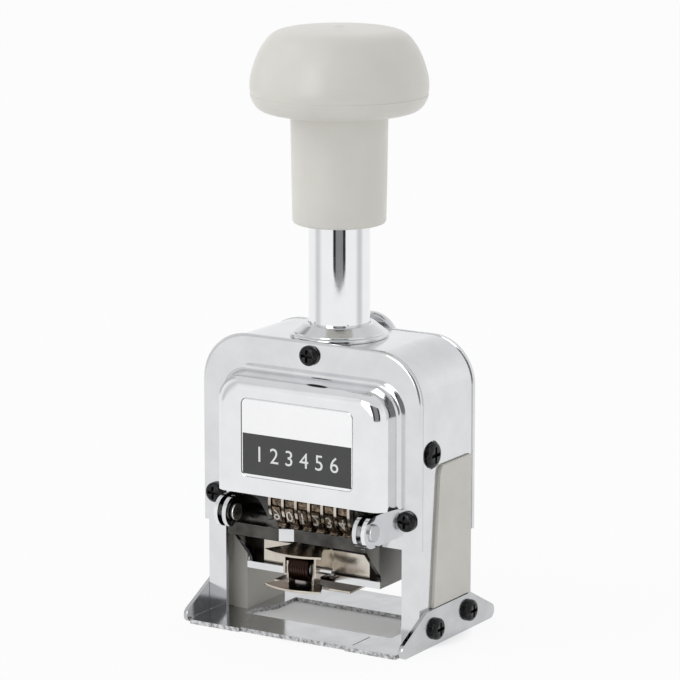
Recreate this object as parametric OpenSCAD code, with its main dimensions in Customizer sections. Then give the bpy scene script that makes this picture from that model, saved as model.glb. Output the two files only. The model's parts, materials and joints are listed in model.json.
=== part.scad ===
// A hand stamp that prints a row of numbers and steps them on.
// Origin: centre of the base plate's underside, +X to the right, +Y to the back, +Z up.

/* [Base] */
// Width of the base over its side flanges
base_w = 70; // [68:0.5:74]
// Depth of the base plate
base_d = 50; // [46:1:58]
// Thickness of the base, casing and cover sheets
sheet_t = 1.2; // [1:0.1:1.4]
// Height of a side flange's round nose
nose_h = 4.3; // [3.8:0.1:5]
// Height of a side flange over its middle
flange_h = 10.2; // [9.4:0.1:12]
// Length of a side flange at full height
flange_flat = 24; // [20:1:28]
// Half width of the print window at the back
window_rear_half = 20; // [18:0.5:22]
// Half width of the print window at the front
window_front_half = 23.5; // [22.5:0.5:26]
// Place of the print window's rear edge
window_rear_y = 9; // [7:0.5:12]
// Place of the print window's front edge
window_front_y = -11.5; // [-16:0.5:-8]
// Place where the print window starts to widen
window_step_y = -0.5; // [-2:0.5:2]
// Length over which the print window widens
window_step_len = 6; // [4:0.5:7]
// Width of the shallow recess in the front edge
nose_recess_w = 34; // [28:1:38]
// Depth of the shallow recess in the front edge
nose_recess_d = 0.8; // [0.4:0.1:1.4]
// Distance of each setting line from the middle
line_x = 17.9; // [16:0.1:20]
// Width and depth of a setting line
line_t = 0.3; // [0.2:0.05:0.5]
// Place of the front pair of base screws
base_screw_front_y = -7.5; // [-9:0.5:-6]
// Height of the front pair of base screws
base_screw_front_z = 4.7; // [4.4:0.1:6]
// Place of the rear pair of base screws
base_screw_rear_y = 10.5; // [8:0.5:11]
// Height of the rear pair of base screws
base_screw_rear_z = 5.5; // [4.4:0.1:6]

/* [Casing] */
// Depth of the casing between its rims
casing_d = 27.8; // [27.2:0.2:30]
// Height of the casing's top face
casing_top = 80.4; // [80:0.2:86]
// Radius of the casing's upper corners
casing_r = 13; // [11:0.5:15]
// Width of the rims round the front and rear openings
rim_w = 5.6; // [5:0.1:6.5]
// Place of the side screws, front to back
side_screw_y = -7.6; // [-9:0.2:-4]
// Height of the side screws
side_screw_z = 52.7; // [52.4:0.5:60]
// Radius of the dish round a side screw
side_dish_r = 3.9; // [3.8:0.1:4.6]
// Depth of the dish round a side screw
side_dish_depth = 0.5; // [0.3:0.1:0.8]

/* [Front cover] */
// How far the covers reach past the casing's sides
cover_lip = 0.3; // [0:0.1:0.8]
// Height of the lower edge of the cover's ears
ear_z = 27.5; // [26.5:0.5:28.5]
// Height of the dome's open lower edge
dome_z = 38.5; // [38:0.1:41]
// Height where the dome meets the flat border
dome_top = 72.6; // [70:0.2:74]
// Half width of the dome at the flat border
dome_half = 27.3; // [26:0.1:28.5]
// How far the dome stands out of the cover
dome_depth = 6.9; // [6.5:0.1:8]
// Radius of the dome's upper corners
dome_r = 9; // [7:0.5:11]
// Half width of the dome's flat face
panel_half = 23.2; // [22:0.1:24.4]
// Height of the top of the dome's flat face
panel_top = 67.4; // [66:0.2:69]
// Distance of the upper cover screw below the casing's top
cover_screw_drop = 3; // [2.6:0.1:3.4]
// Distance of the lower cover screws in from the casing's side
cover_screw_in = 3.2; // [2.8:0.1:4.2]
// Height of the lower cover screws
cover_screw_z = 35.6; // [33:0.2:40]

/* [Label] */
// Half width of the label
label_half = 17.5; // [15:0.5:20]
// Height of the label's lower edge
label_z = 43.5; // [41:0.5:46]
// Height of the label
label_h = 21.4; // [18:0.2:22]
// Thickness of the label plate
label_t = 0.4; // [0.3:0.05:0.5]

/* [Rear cover] */
// Half width of the rear cover's raised panel
rear_panel_half = 20; // [16:1:22]
// Height of the lower edge of the raised panel
rear_panel_z = 34; // [32:1:38]
// Height of the raised panel
rear_panel_h = 26; // [20:1:28]
// How far the raised panel stands out
rear_panel_t = 0.8; // [0.5:0.1:1.2]

/* [Leg liners] */
// Height of a leg liner's top
liner_top = 49; // [46.5:0.5:52]
// Width of a liner's inner rail
rail_w = 4.6; // [4:0.1:5]
// Gap between a liner's rail and the casing wall
rail_back = 2.7; // [2.3:0.1:3]
// Place of a rail's front edge
rail_front_y = -7.7; // [-9:0.1:-6]
// Place of a rail's rear edge
rail_rear_y = 11.6; // [11.2:0.1:12.2]
// Place of the side panel's rear edge
panel_rear_y = 12.2; // [11:0.1:12.4]
// Place of the side panel's upper front corner
panel_front_y = -4.3; // [-6:0.1:-2]
// How far the side panel stands out of the casing
panel_proud = 0.3; // [0.1:0.1:0.8]
// Radius of the side panel's upper front corner
panel_r = 2; // [1:0.5:3]

/* [Guide tube] */
// Outer radius of the guide tube
tube_r = 8.4; // [8:0.1:8.8]
// Wall of the guide tube
tube_wall = 1.2; // [1:0.1:1.4]
// Height of the guide tube's upper end
tube_top = 113; // [112.4:0.2:116]
// Length of the tube below the casing's top face
tube_below = 6.4; // [6:0.1:6.8]
// Radius of the collar's foot
collar_r = 13.5; // [12:0.1:13.8]
// Radius of the collar's upper end
collar_top_r = 9.6; // [9.2:0.1:10.5]
// Height of the collar
collar_h = 3.8; // [3:0.1:4.4]
// Radius across the corners of the tube nut
tube_nut_r = 11.4; // [10.6:0.1:12]
// Height of the tube nut
tube_nut_h = 4.4; // [3.6:0.1:4.6]
// Length of the rod bush
bush_len = 7; // [6:0.5:10]

/* [Handle] */
// Height of the whole stamp
handle_top = 164.5; // [162:0.5:172]
// Height of the handle skirt's lower edge
skirt_z = 111.4; // [111:0.2:112]
// Radius of the skirt at its lower edge
skirt_r = 12.7; // [11.5:0.1:13.4]
// Radius of the skirt where the knob starts
neck_r = 13.2; // [12:0.1:14]
// Height where the knob starts
knob_z = 139.6; // [138:0.2:141]
// Largest radius of the knob
knob_r = 24.2; // [22:0.2:27]
// Height of the knob's widest place
knob_mid_z = 148.8; // [147:0.2:151]
// Height of the joint between the knob's two shells
seam_z = 145.5; // [145:0.1:147]
// Radius of the knob's top edge
knob_top_r = 17.7; // [15:0.1:19]
// Height of the slight dome on top of the knob
crown_h = 1.2; // [0.6:0.1:2]
// Wall of the knob's shells
knob_wall = 2.2; // [1.6:0.1:3]
// Height of the solid web that the rod is fastened to
web_z = 138; // [137.5:0.1:139]
// Thickness of the web
web_t = 5; // [4:0.5:5.5]
// Radius of the recess over the web
recess_r = 18; // [16:0.5:19]

/* [Carriage] */
// How far the handle and carriage travel down
stroke = 24.2; // [22:0.1:24.3]
// Radius of the plunger rod
rod_r = 3.2; // [3:0.1:3.5]
// Radius of the rod's threaded ends
rod_thread_r = 2.4; // [2:0.1:2.6]
// Height of the yoke's top face
yoke_z = 70.5; // [69:0.1:71]
// Thickness of the yoke
yoke_t = 2.5; // [2:0.1:3]
// Place of the yoke's front edge
yoke_front_y = -9; // [-11:0.5:-8]
// Place of the yoke's rear edge
yoke_rear_y = 11.6; // [11:0.1:12]
// Depth of a guide wing
wing_d = 3.2; // [2.6:0.1:3.6]
// Height of the lower end of the guide wings
wing_z = 44; // [42:0.5:46]
// Outer radius of the stop washer
washer_r = 6.8; // [6:0.1:7]
// Height of the axle
axle_z = 35.5; // [35.4:0.1:36.5]
// Place of the axle, front to back
axle_y = -5.2; // [-5.6:0.1:-4.8]
// Radius of the axle
axle_r = 2.5; // [2:0.1:3]
// Radius of a cheek's lower end
cheek_r = 8.5; // [7.5:0.1:9]
// Place of a cheek's front edge
cheek_front_y = -13.8; // [-14.2:0.1:-13.6]
// Place of a cheek's rear edge
cheek_rear_y = 11.2; // [11:0.1:11.6]
// Height of a cheek's wide part
cheek_wide_z = 41; // [40.4:0.2:43]
// Width of the foot that fastens a cheek to the yoke
cheek_foot_w = 6.5; // [5.5:0.1:7]
// Place of the tray roller, front to back
roller_y = -1; // [-1.4:0.1:-0.6]
// Radius of a tray roller
roller_r = 1.6; // [1.3:0.1:1.8]

/* [Number wheels] */
// Number of number wheels
wheel_count = 6; // [4:1:6]
// Distance from one number wheel to the next
wheel_pitch = 4.2; // [4.1:0.02:4.3]
// Width of a number wheel's drum
drum_w = 2.9; // [2.7:0.05:3]
// Radius of a number wheel's drum
drum_r = 10.2; // [9.8:0.1:10.4]
// Radius over the raised type
type_r = 11; // [10.6:0.1:11.1]
// Width of one piece of type
type_w = 2.5; // [2:0.1:2.7]
// Height of one piece of type round the drum
type_h = 4.4; // [3.6:0.1:5]
// Number of places on a number wheel
places = 10; // [8:1:12]
// Radius of a ratchet wheel over its teeth
ratchet_r = 8.4; // [7.8:0.1:8.6]
// Depth of a ratchet tooth
tooth_depth = 1.2; // [0.8:0.1:1.6]
// Width of a ratchet wheel
ratchet_w = 0.8; // [0.6:0.05:0.85]
// Radius of a number wheel's hub hole in its ratchet wheel
hub_r = 4.2; // [3.8:0.1:5]

/* [Guard, detents and feed] */
// Width of one finger between the number wheels
finger_w = 0.8; // [0.6:0.05:0.9]
// Inner radius of the guard fingers
guard_r = 9; // [8.9:0.1:9.4]
// Depth of the guard fingers
guard_depth = 1.8; // [1.4:0.1:1.9]
// Angle from upright where the guard's bar starts
guard_start = 35; // [30:1:36]
// Angle over which the guard's bar reaches
guard_bar_angle = 13; // [10:1:15]
// Angle from upright where the guard fingers end
guard_end = 112; // [104:1:116]
// Thickness of the guard's bar
guard_bar_t = 1.8; // [1.2:0.1:2]
// Place of the detent bar, front to back
detent_y = 2.5; // [1.5:0.1:3.5]
// Height of the detent bar
detent_z = 52; // [51:0.2:54]
// Radius of the detent bar and the pawl shaft
shaft_r = 1.5; // [1.2:0.1:1.8]
// Thickness of a detent leaf
leaf_t = 0.5; // [0.4:0.05:0.7]
// Place of the pawl shaft, front to back
pawl_y = 8.6; // [8.4:0.1:8.8]
// Height of the pawl shaft
pawl_z = 44; // [43.6:0.2:45]
// Radius of the pawl comb's barrel
barrel_r = 2.5; // [2.3:0.1:2.6]
// Angle by which the pawls swing back
pawl_swing = 18; // [15:1:20]
// Length of the feed lever
lever_len = 11; // [10:0.1:11.5]
// Angle from upright by which the feed lever leans back
lever_lean = 5; // [3:0.5:6]
// Radius of the feed lever's roller
feed_roller_r = 1.6; // [1.3:0.1:1.8]

/* [Ink tray] */
// Place of the tray's pivot, front to back
pivot_y = -22; // [-22.4:0.1:-21.8]
// Height of the tray's pivot
pivot_z = 33; // [32.8:0.1:33.2]
// Radius of the round ends of the lugs and arms
lug_r = 4.3; // [3.8:0.1:4.4]
// Distance of the lugs' inner faces from the middle
lug_x = 22.8; // [22.6:0.1:23.2]
// Gap between a lug and its arm
arm_gap = 1.5; // [1.2:0.1:1.8]
// Radius of a pivot pin
pivot_r = 1.8; // [1.5:0.1:2]
// Height of the tray floor's underside
tray_z = 14; // [13.8:0.1:14.2]
// Place of the tray's front lip
tray_front_y = -13.7; // [-14:0.1:-13.4]
// Place of the tray floor's rear edge
tray_rear_y = 2.6; // [2.4:0.1:3]
// Height of the tray's front lip
lip_h = 3; // [2:0.1:3.2]
// Half width of the pad holder
holder_half = 17; // [15:0.5:18.5]
// Place of the pad holder's front wall
holder_front_y = -12; // [-12.2:0.1:-11.6]
// Place of the pad holder's rear wall
holder_rear_y = 2.2; // [1.6:0.1:2.2]
// Height of the pad holder
holder_h = 8.2; // [7.4:0.1:8.3]
// Wall of the pad holder
holder_wall = 1; // [0.8:0.1:1.2]
// Clearance left between the ink pad and the type
pad_gap = 0.4; // [0.4:0.05:0.6]
// Lower edge of the cross strip between the arms
strip_z = 27; // [26.5:0.1:27.4]
// Height of the cross strip between the arms
strip_h = 3.4; // [2.6:0.1:3.6]
// Thickness of the cross strip
strip_t = 0.8; // [0.6:0.1:1]
// Step between the strip's left and right halves
strip_step = 1.6; // [1:0.1:2]

/* [Pad clip] */
// Thickness of the clip's sheet
clip_t = 0.6; // [0.5:0.05:0.7]
// Half width of the clip's leaves
leaf_half = 9; // [8:0.5:10]
// Place of the front edge of the leaves
leaf_front_y = -26.4; // [-27:0.1:-25]
// Height of the upper leaf
upper_leaf_z = 24; // [24:0.1:24.2]
// Height of the lower leaf
lower_leaf_z = 14.4; // [14.2:0.1:14.6]
// Place of the clip's pin, front to back
clip_y = -18.5; // [-18.8:0.1:-18.2]
// Height of the clip's pin
clip_z = 19.3; // [19.2:0.1:19.5]
// Radius of the clip's pin
clip_pin_r = 1; // [0.8:0.1:1.2]
// Distance of the upper leaf's posts from the middle
post_x = 4.6; // [4.6:0.1:5.2]
// Half width of the clip's lower jaw
jaw_half = 12.2; // [11:0.1:13]
// Place of the lower jaw's rear edge
jaw_rear_y = -3; // [-5:0.5:-3]
// Gap between the lower jaw and the tray floor
jaw_gap = 0.8; // [0.6:0.1:1]

/* [Springs] */
// Curls of the return spring
return_turns = 14; // [10:1:16]
// Radius of the return spring's wire
return_wire = 0.6; // [0.5:0.05:0.7]
// Radius of the return spring to the middle of its wire
return_r = 5.4; // [5.1:0.1:5.6]
// Curls of the clip's spring
clip_turns = 4; // [3:1:4]
// Radius of the clip spring's wire
clip_wire = 0.45; // [0.35:0.05:0.45]
// Radius of the clip's spring to the middle of its wire
clip_coil_r = 3.3; // [3.1:0.1:3.4]

/* [Selector dial] */
// Height of the dial's middle
dial_z = 75; // [74:0.2:76]
// Radius of the dial
dial_r = 9.2; // [8:0.1:9.6]
// Thickness of the dial
dial_t = 2.4; // [2:0.1:3]
// Radius of the dial's spindle
spindle_r = 1.6; // [1.4:0.1:2]

/* [Screws] */
// Radius of the cover screws' heads
cover_head_r = 2.8; // [2.4:0.1:2.9]
// Radius of the base screws' heads
base_head_r = 3; // [2.7:0.1:3.3]
// Radius of the side screws' heads
side_head_r = 3.6; // [3.2:0.1:3.7]
// Height of a screw head
head_h = 1.8; // [1.4:0.1:2.2]
// Radius of a screw's shank
shank_r = 1.4; // [1.2:0.1:1.5]
// Length of a screw's shank past the sheets it holds
shank_past = 0.8; // [0.6:0.1:1.2]

/* [Clearances] */
// Gap between seated pieces that don't move
seat_gap = 0.05; // [0.03:0.01:0.08]
// Radial clearance of a pin or shaft that turns
run_gap = 0.05; // [0.03:0.01:0.08]
// Gap between sliding or passing faces
slide_gap = 0.3; // [0.3:0.05:0.35]

/* [Hidden] */

$fn = 64;
cut = 1;            // how far a cutting shape runs past the face it cuts
hair = 0.01;        // overlap that joins two shapes of one solid
casing_half = base_w/2 - sheet_t - seat_gap;
cover_half = casing_half + cover_lip;
wall_x = casing_half - sheet_t;
cover_screw_x = casing_half - cover_screw_in;
rail_in = wall_x - rail_back - rail_w;
front_y = -casing_d/2;
rear_y = casing_d/2;
cover_y = front_y - sheet_t;
cover_top = casing_top + cover_lip/2;
nose_r = nose_h/2;
nose_cy = base_d/2 - nose_r;
slope_dy = nose_cy - flange_flat/2;
slope_dz = flange_h - nose_r;
slope_angle = atan2(slope_dz, slope_dy) + acos(nose_r/norm([slope_dy, slope_dz]));
line_start = 2;         // from the print window's front edge to the setting lines
line_len = 9;
tube_in = tube_r - tube_wall;
tube_bottom = casing_top - tube_below;
bush_top = tube_bottom + bush_len;
yoke_half = rail_in - slide_gap;
yoke_under = yoke_z - yoke_t;
wing_t = sheet_t;
yoke_rib = 1.2;         // metal left beside the yoke's notch
washer_top = tube_bottom - slide_gap;
cheek_x = wheel_count*wheel_pitch/2 + finger_w/2;
cheek_out = cheek_x + sheet_t;
slot_w = wheel_pitch - drum_w;
block_left = -wheel_count*wheel_pitch/2 + slot_w/2;
arm_t = sheet_t;
arm_out = lug_x - arm_gap;
arm_in = arm_out - arm_t;
roller_z = axle_z - 7.3;
roller_in = cheek_out;
arm_edge = roller_z - roller_r - slide_gap;
tray_top = tray_z + sheet_t;
pad_top = axle_z - type_r - pad_gap;
lever_x = cheek_out + 0.2;
lever_t = 1;
cam_x = lever_x + lever_t + 0.5;
cam_t = sheet_t;
cam_foot = yoke_half - wing_t - yoke_rib - cam_x - cam_t - slide_gap;
cam_rest = [pawl_y + lever_len*sin(lever_lean), pawl_z + lever_len*cos(lever_lean)];
cam_down = [pawl_y + lever_len*sin(lever_lean - pawl_swing),
            pawl_z - stroke + lever_len*cos(lever_lean - pawl_swing)];
cam_off = feed_roller_r + slide_gap;
clip_post_in = post_x - clip_t - 0.3;
jaw_z = tray_z - jaw_gap - clip_t;
spindle_flange = 1.2;   // how far the spindle's flange stands out
spring_base = bush_top;
spring_top = web_z;

function wheel_x(i) = (i - (wheel_count + 1)/2)*wheel_pitch;
function slot_x(i) = wheel_x(i) + wheel_pitch/2;

// ---- shapes that repeat ----

// an outline in X and Z, drawn out from y0 to y1
module along_y(y0, y1) {
    translate([0, y1, 0]) rotate([90, 0, 0]) linear_extrude(y1 - y0) children();
}

// an outline in Y and Z, drawn out from x0 to x1
module along_x(x0, x1) {
    translate([x0, 0, 0]) rotate([90, 0, 90]) linear_extrude(x1 - x0) children();
}

// a round bar along X through (y, z)
module bar_x(r, x0, x1, y, z) {
    translate([x0, y, z]) rotate([0, 90, 0]) cylinder(r = r, h = x1 - x0);
}

// a round bar along Y through (x, z)
module bar_y(r, y0, y1, x, z) {
    translate([x, y1, z]) rotate([90, 0, 0]) cylinder(r = r, h = y1 - y0);
}

module both_sides() {
    children();
    mirror([1, 0, 0]) children();
}

// an arch with round upper corners
module arch(half, z0, top, r) {
    translate([-half, z0]) square([2*half, top - r - z0]);
    translate([r - half, z0]) square([2*(half - r), top - z0]);
    for (s = [-1, 1]) translate([s*(half - r), top - r]) circle(r);
}

module casing_arch(inset, z0) {
    arch(casing_half - inset, z0, casing_top - inset, casing_r - inset);
}

// a pan head with a cross recess, its seat at z = 0 and its shank below
module pan_screw(head_r, shank_len) {
    dome = [for (a = [0:15:90]) [head_r*(0.55 + 0.45*cos(a)), head_h*(0.4 + 0.6*sin(a))]];
    slot = 0.28*head_r;
    difference() {
        union() {
            rotate_extrude() polygon(concat([[0, 0], [head_r, 0]], dome, [[0, head_h]]));
            translate([0, 0, -shank_len]) cylinder(r = shank_r, h = shank_len + hair);
        }
        for (a = [0, 90]) rotate([0, 0, a])
            translate([-0.62*head_r, -slot/2, head_h*0.4]) cube([1.24*head_r, slot, head_h]);
    }
}

// one unbroken helical wire that stands on z = 0
module coil(r, wire, height, turns) {
    rings = 8;
    sides = 6;
    steps = turns*rings;
    rise = (height - 2*wire)/steps;
    points = [for (i = [0:steps], j = [0:sides - 1])
        let (a = 360*i/rings, b = 360*j/sides, q = r + wire*cos(b))
        [q*cos(a), q*sin(a), wire + rise*i + wire*sin(b)]];
    start = [for (j = [0:sides - 1]) j];
    finish = [for (j = [sides - 1:-1:0]) steps*sides + j];
    skin = [for (i = [0:steps - 1], j = [0:sides - 1])
        let (a = i*sides + j, b = i*sides + (j + 1) % sides)
        each [[a, a + sides, b], [b, a + sides, b + sides]]];
    echo(least_gap_of_a_coil_to_itself = rise*rings - 2*wire);
    polyhedron(points, concat([start, finish], skin), convexity = 8);
}

// ---- fixed pieces ----

module flange_outline() {
    for (s = [-1, 1]) translate([s*nose_cy, nose_r]) circle(nose_r);
    tangent = [nose_cy - nose_r*cos(slope_angle), nose_r + nose_r*sin(slope_angle)];
    polygon([
        [-nose_cy, 0], [nose_cy, 0], [nose_cy + hair, nose_r], tangent,
        [flange_flat/2, flange_h], [-flange_flat/2, flange_h],
        [-tangent[0], tangent[1]], [-nose_cy - hair, nose_r]
    ]);
}

module window_outline() {
    step_end = window_step_y - window_step_len;
    polygon([
        [-window_rear_half, window_rear_y], [window_rear_half, window_rear_y],
        [window_rear_half, window_step_y], [window_front_half, step_end],
        [window_front_half, window_front_y], [-window_front_half, window_front_y],
        [-window_front_half, step_end], [-window_rear_half, window_step_y]
    ]);
}

module base_screw_places() {
    for (p = [[base_screw_front_y, base_screw_front_z], [base_screw_rear_y, base_screw_rear_z]])
        both_sides() translate([base_w/2, p[0], p[1]]) rotate([0, 90, 0]) children();
}

module base_plate() {
    color([0.86, 0.87, 0.88]) difference() {
        union() {
            translate([-base_w/2, -nose_cy, 0]) cube([base_w, 2*nose_cy, sheet_t]);
            translate([-base_w/2 + nose_r, -base_d/2, 0])
                cube([base_w - nose_h, base_d, sheet_t]);
            both_sides() along_x(base_w/2 - sheet_t, base_w/2) flange_outline();
        }
        translate([0, 0, -cut]) linear_extrude(sheet_t + 2*cut) window_outline();
        translate([-nose_recess_w/2, -base_d/2 - cut, -cut])
            cube([nose_recess_w, cut + nose_recess_d, sheet_t + 2*cut]);
        both_sides() translate([line_x, window_front_y - line_start - line_len, sheet_t - line_t])
            cube([line_t, line_len, line_t + cut]);
        base_screw_places() translate([0, 0, -sheet_t - cut])
            cylinder(r = shank_r + seat_gap, h = sheet_t + 2*cut);
    }
}

module base_screws() {
    color([0.05, 0.05, 0.05]) base_screw_places()
        pan_screw(base_head_r, 2*sheet_t + seat_gap + shank_past);
}

// the side panel's outline in Y and Z, grown by a gap
module side_panel_outline(gap) {
    low = flange_h + 0.1;
    difference() {
        polygon([
            [rail_front_y - gap, low - gap], [panel_rear_y + gap, low - gap],
            [panel_rear_y + gap, liner_top + gap], [panel_front_y - gap, liner_top + gap]
        ]);
        translate([panel_front_y - gap - cut, liner_top + gap - panel_r])
            difference() {
                square([panel_r + cut, panel_r + cut]);
                translate([panel_r + cut, 0]) circle(panel_r);
            }
    }
}

module cover_screw_places() {
    places_xz = [[0, casing_top - cover_screw_drop], [cover_screw_x, cover_screw_z],
                 [-cover_screw_x, cover_screw_z]];
    for (p = places_xz) translate([p[0], 0, p[1]]) children();
}

module rear_screw_places() {
    for (z = [cover_screw_z, casing_top - casing_r]) both_sides()
        translate([cover_screw_x, 0, z]) children();
}

module side_screw_places() {
    both_sides() translate([casing_half - side_dish_depth, side_screw_y, side_screw_z])
        rotate([0, 90, 0]) children();
}

module casing() {
    color([0.88, 0.89, 0.9]) difference() {
        along_y(front_y, rear_y) casing_arch(0, sheet_t);
        along_y(front_y + sheet_t, rear_y - sheet_t) casing_arch(sheet_t, -cut);
        along_y(front_y - cut, rear_y + cut) casing_arch(rim_w, -cut);
        both_sides() along_x(wall_x - cut, casing_half + cut) side_panel_outline(0.15);
        translate([0, 0, casing_top - 2*sheet_t]) cylinder(r = tube_r + seat_gap, h = 3*sheet_t);
        cover_screw_places() bar_y(shank_r + seat_gap, front_y - cut, front_y + 2*sheet_t, 0, 0);
        rear_screw_places() bar_y(shank_r + seat_gap, rear_y - 2*sheet_t, rear_y + cut, 0, 0);
        base_screw_places() translate([0, 0, -4*sheet_t])
            cylinder(r = shank_r + seat_gap, h = 4*sheet_t);
        side_screw_places() {
            translate([0, 0, -2*sheet_t]) cylinder(r = shank_r + seat_gap, h = 3*sheet_t);
            cylinder(r = side_dish_r, h = sheet_t);
        }
        bar_y(spindle_r + spindle_flange + slide_gap, rear_y - 2*sheet_t, rear_y + cut, 0, dial_z);
    }
}

// the domed panel of the front cover, grown or shrunk by a wall
module dome_body(wall, z0) {
    levels = [[0, dome_half, dome_top, dome_r], [0.55, dome_half - 0.8, dome_top - 0.9, dome_r],
              [0.86, dome_half - 2.2, dome_top - 2.6, dome_r - 1],
              [1, panel_half, panel_top, dome_r - 3]];
    hull() for (l = levels)
        translate([0, cover_y + hair - (dome_depth + hair - wall)*l[0], 0]) rotate([90, 0, 0])
            linear_extrude(hair) arch(l[1] - wall, z0, l[2] - wall, l[3] - wall/2, $fn = 32);
}

module lug_outline() {
    translate([pivot_y, pivot_z]) circle(lug_r);
    translate([pivot_y, pivot_z - lug_r]) square([front_y - pivot_y, 2*lug_r]);
}

module front_cover() {
    color([0.9, 0.91, 0.92]) difference() {
        union() {
            difference() {
                along_y(cover_y, front_y) arch(cover_half, ear_z, cover_top, casing_r);
                along_y(cover_y - cut, front_y + cut)
                    arch(dome_half - sheet_t, dome_z - cut, dome_top - sheet_t, dome_r);
                translate([-lug_x, cover_y - cut, ear_z - cut])
                    cube([2*lug_x, sheet_t + 2*cut, dome_z - ear_z + cut]);
            }
            difference() {
                dome_body(0, dome_z);
                translate([0, sheet_t, 0]) dome_body(sheet_t, dome_z - cut);
            }
            both_sides() along_x(lug_x, lug_x + sheet_t) lug_outline();
        }
        translate([-label_half - seat_gap, cover_y - dome_depth - cut, label_z - seat_gap])
            cube([2*(label_half + seat_gap), cut + label_t + seat_gap, label_h + 2*seat_gap]);
        cover_screw_places() bar_y(shank_r + seat_gap, cover_y - cut, front_y + cut, 0, 0);
        bar_x(pivot_r + seat_gap, -cover_half, cover_half, pivot_y, pivot_z);
    }
}

module label_plate() {
    face_y = cover_y - dome_depth;
    color([0.93, 0.93, 0.94])
        translate([-label_half, face_y, label_z]) cube([2*label_half, label_t, label_h]);
}

module rear_cover() {
    color([0.88, 0.89, 0.9]) difference() {
        union() {
            along_y(rear_y, rear_y + sheet_t) arch(cover_half, ear_z, cover_top, casing_r);
            translate([-rear_panel_half, rear_y + sheet_t - hair, rear_panel_z])
                cube([2*rear_panel_half, rear_panel_t + hair, rear_panel_h]);
        }
        rear_screw_places() bar_y(shank_r + seat_gap, rear_y - cut, rear_y + 2*sheet_t, 0, 0);
        bar_y(spindle_r + run_gap, rear_y - cut, rear_y + 2*sheet_t, 0, dial_z);
    }
}

module cover_screws() {
    color([0.05, 0.05, 0.05]) cover_screw_places()
        translate([0, cover_y, 0]) rotate([90, 0, 0])
            pan_screw(cover_head_r, 2*sheet_t + shank_past);
}

module rear_screws() {
    color([0.05, 0.05, 0.05]) rear_screw_places()
        translate([0, rear_y + sheet_t, 0]) rotate([-90, 0, 0])
            pan_screw(cover_head_r, rear_y + sheet_t - panel_rear_y - slide_gap);
}

module side_screws() {
    color([0.05, 0.05, 0.05]) side_screw_places() pan_screw(side_head_r, sheet_t + shank_past);
}

module liner() {
    rail_out = rail_in + rail_w;
    union() {
        translate([rail_in, rail_front_y, sheet_t])
            cube([rail_w, rail_rear_y - rail_front_y, liner_top - sheet_t]);
        along_x(rail_out - hair, casing_half + panel_proud) side_panel_outline(0);
    }
}

module right_liner() {
    color([0.75, 0.74, 0.7]) liner();
}

module left_liner() {
    color([0.75, 0.74, 0.7]) mirror([1, 0, 0]) liner();
}

module guide_tube() {
    color([0.9, 0.91, 0.92]) difference() {
        translate([0, 0, tube_bottom]) cylinder(r = tube_r, h = tube_top - tube_bottom);
        translate([0, 0, tube_bottom - cut]) cylinder(r = tube_in, h = tube_top);
    }
}

module tube_collar() {
    foot_h = 1.1;
    bore = tube_r + seat_gap;
    color([0.9, 0.91, 0.92]) translate([0, 0, casing_top]) rotate_extrude() polygon([
        [bore, 0], [collar_r, 0], [collar_r, foot_h - 0.3], [collar_r - 0.3, foot_h],
        [collar_r - 0.9, foot_h], [collar_r - 0.9, foot_h + 0.4],
        [collar_top_r + 0.5, collar_h - 0.3], [collar_top_r, collar_h], [bore, collar_h]
    ]);
}

module tube_nut() {
    color([0.6, 0.61, 0.62]) translate([0, 0, casing_top - sheet_t - tube_nut_h]) difference() {
        cylinder(r = tube_nut_r, h = tube_nut_h, $fn = 6);
        translate([0, 0, -cut]) cylinder(r = tube_r + seat_gap, h = tube_nut_h + 2*cut);
    }
}

module rod_bush() {
    color([0.72, 0.6, 0.3]) difference() {
        translate([0, 0, tube_bottom]) cylinder(r = tube_in - seat_gap, h = bush_len);
        translate([0, 0, tube_bottom - cut]) cylinder(r = rod_r + run_gap, h = bush_len + 2*cut);
    }
}

module tray_pivots() {
    head = 0.8;
    head_r = pivot_r + 0.6;
    color([0.7, 0.71, 0.72]) both_sides() {
        bar_x(pivot_r, arm_in - slide_gap, lug_x + sheet_t + hair, pivot_y, pivot_z);
        bar_x(head_r, arm_in - slide_gap - head, arm_in - slide_gap + hair,
            pivot_y, pivot_z);
        bar_x(head_r, lug_x + sheet_t, lug_x + sheet_t + head, pivot_y, pivot_z);
    }
}

// a blade whose slanted edge swings the feed lever as the carriage goes down
module feed_cam() {
    over = 2;
    lean = (cam_rest[0] - cam_down[0])/(cam_rest[1] - cam_down[1]);
    top = [cam_rest[0] + cam_off + lean*over, cam_rest[1] + over];
    low = [cam_down[0] + cam_off*1.02, cam_down[1]];
    color([0.7, 0.71, 0.72]) union() {
        along_x(cam_x, cam_x + cam_t)
            polygon([[rear_y, low[1]], low, top, [rear_y, top[1]]]);
        translate([cam_x, rear_y - sheet_t, low[1]])
            cube([cam_t + cam_foot, sheet_t, top[1] - low[1]]);
    }
}

// ---- selector dial ----

module selector_dial() {
    y0 = rear_y + sheet_t + slide_gap;
    color([0.88, 0.89, 0.9]) translate([0, y0, dial_z]) rotate([-90, 0, 0]) rotate_extrude()
        polygon([
            [spindle_r + seat_gap, 0], [dial_r - 0.6, 0], [dial_r, 0.6], [dial_r, dial_t - 0.5],
            [dial_r - 0.5, dial_t], [dial_r - 1.8, dial_t], [dial_r - 2.2, dial_t - 0.6],
            [4, dial_t - 0.6], [3.6, dial_t], [spindle_r + seat_gap, dial_t]
        ]);
}

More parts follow.
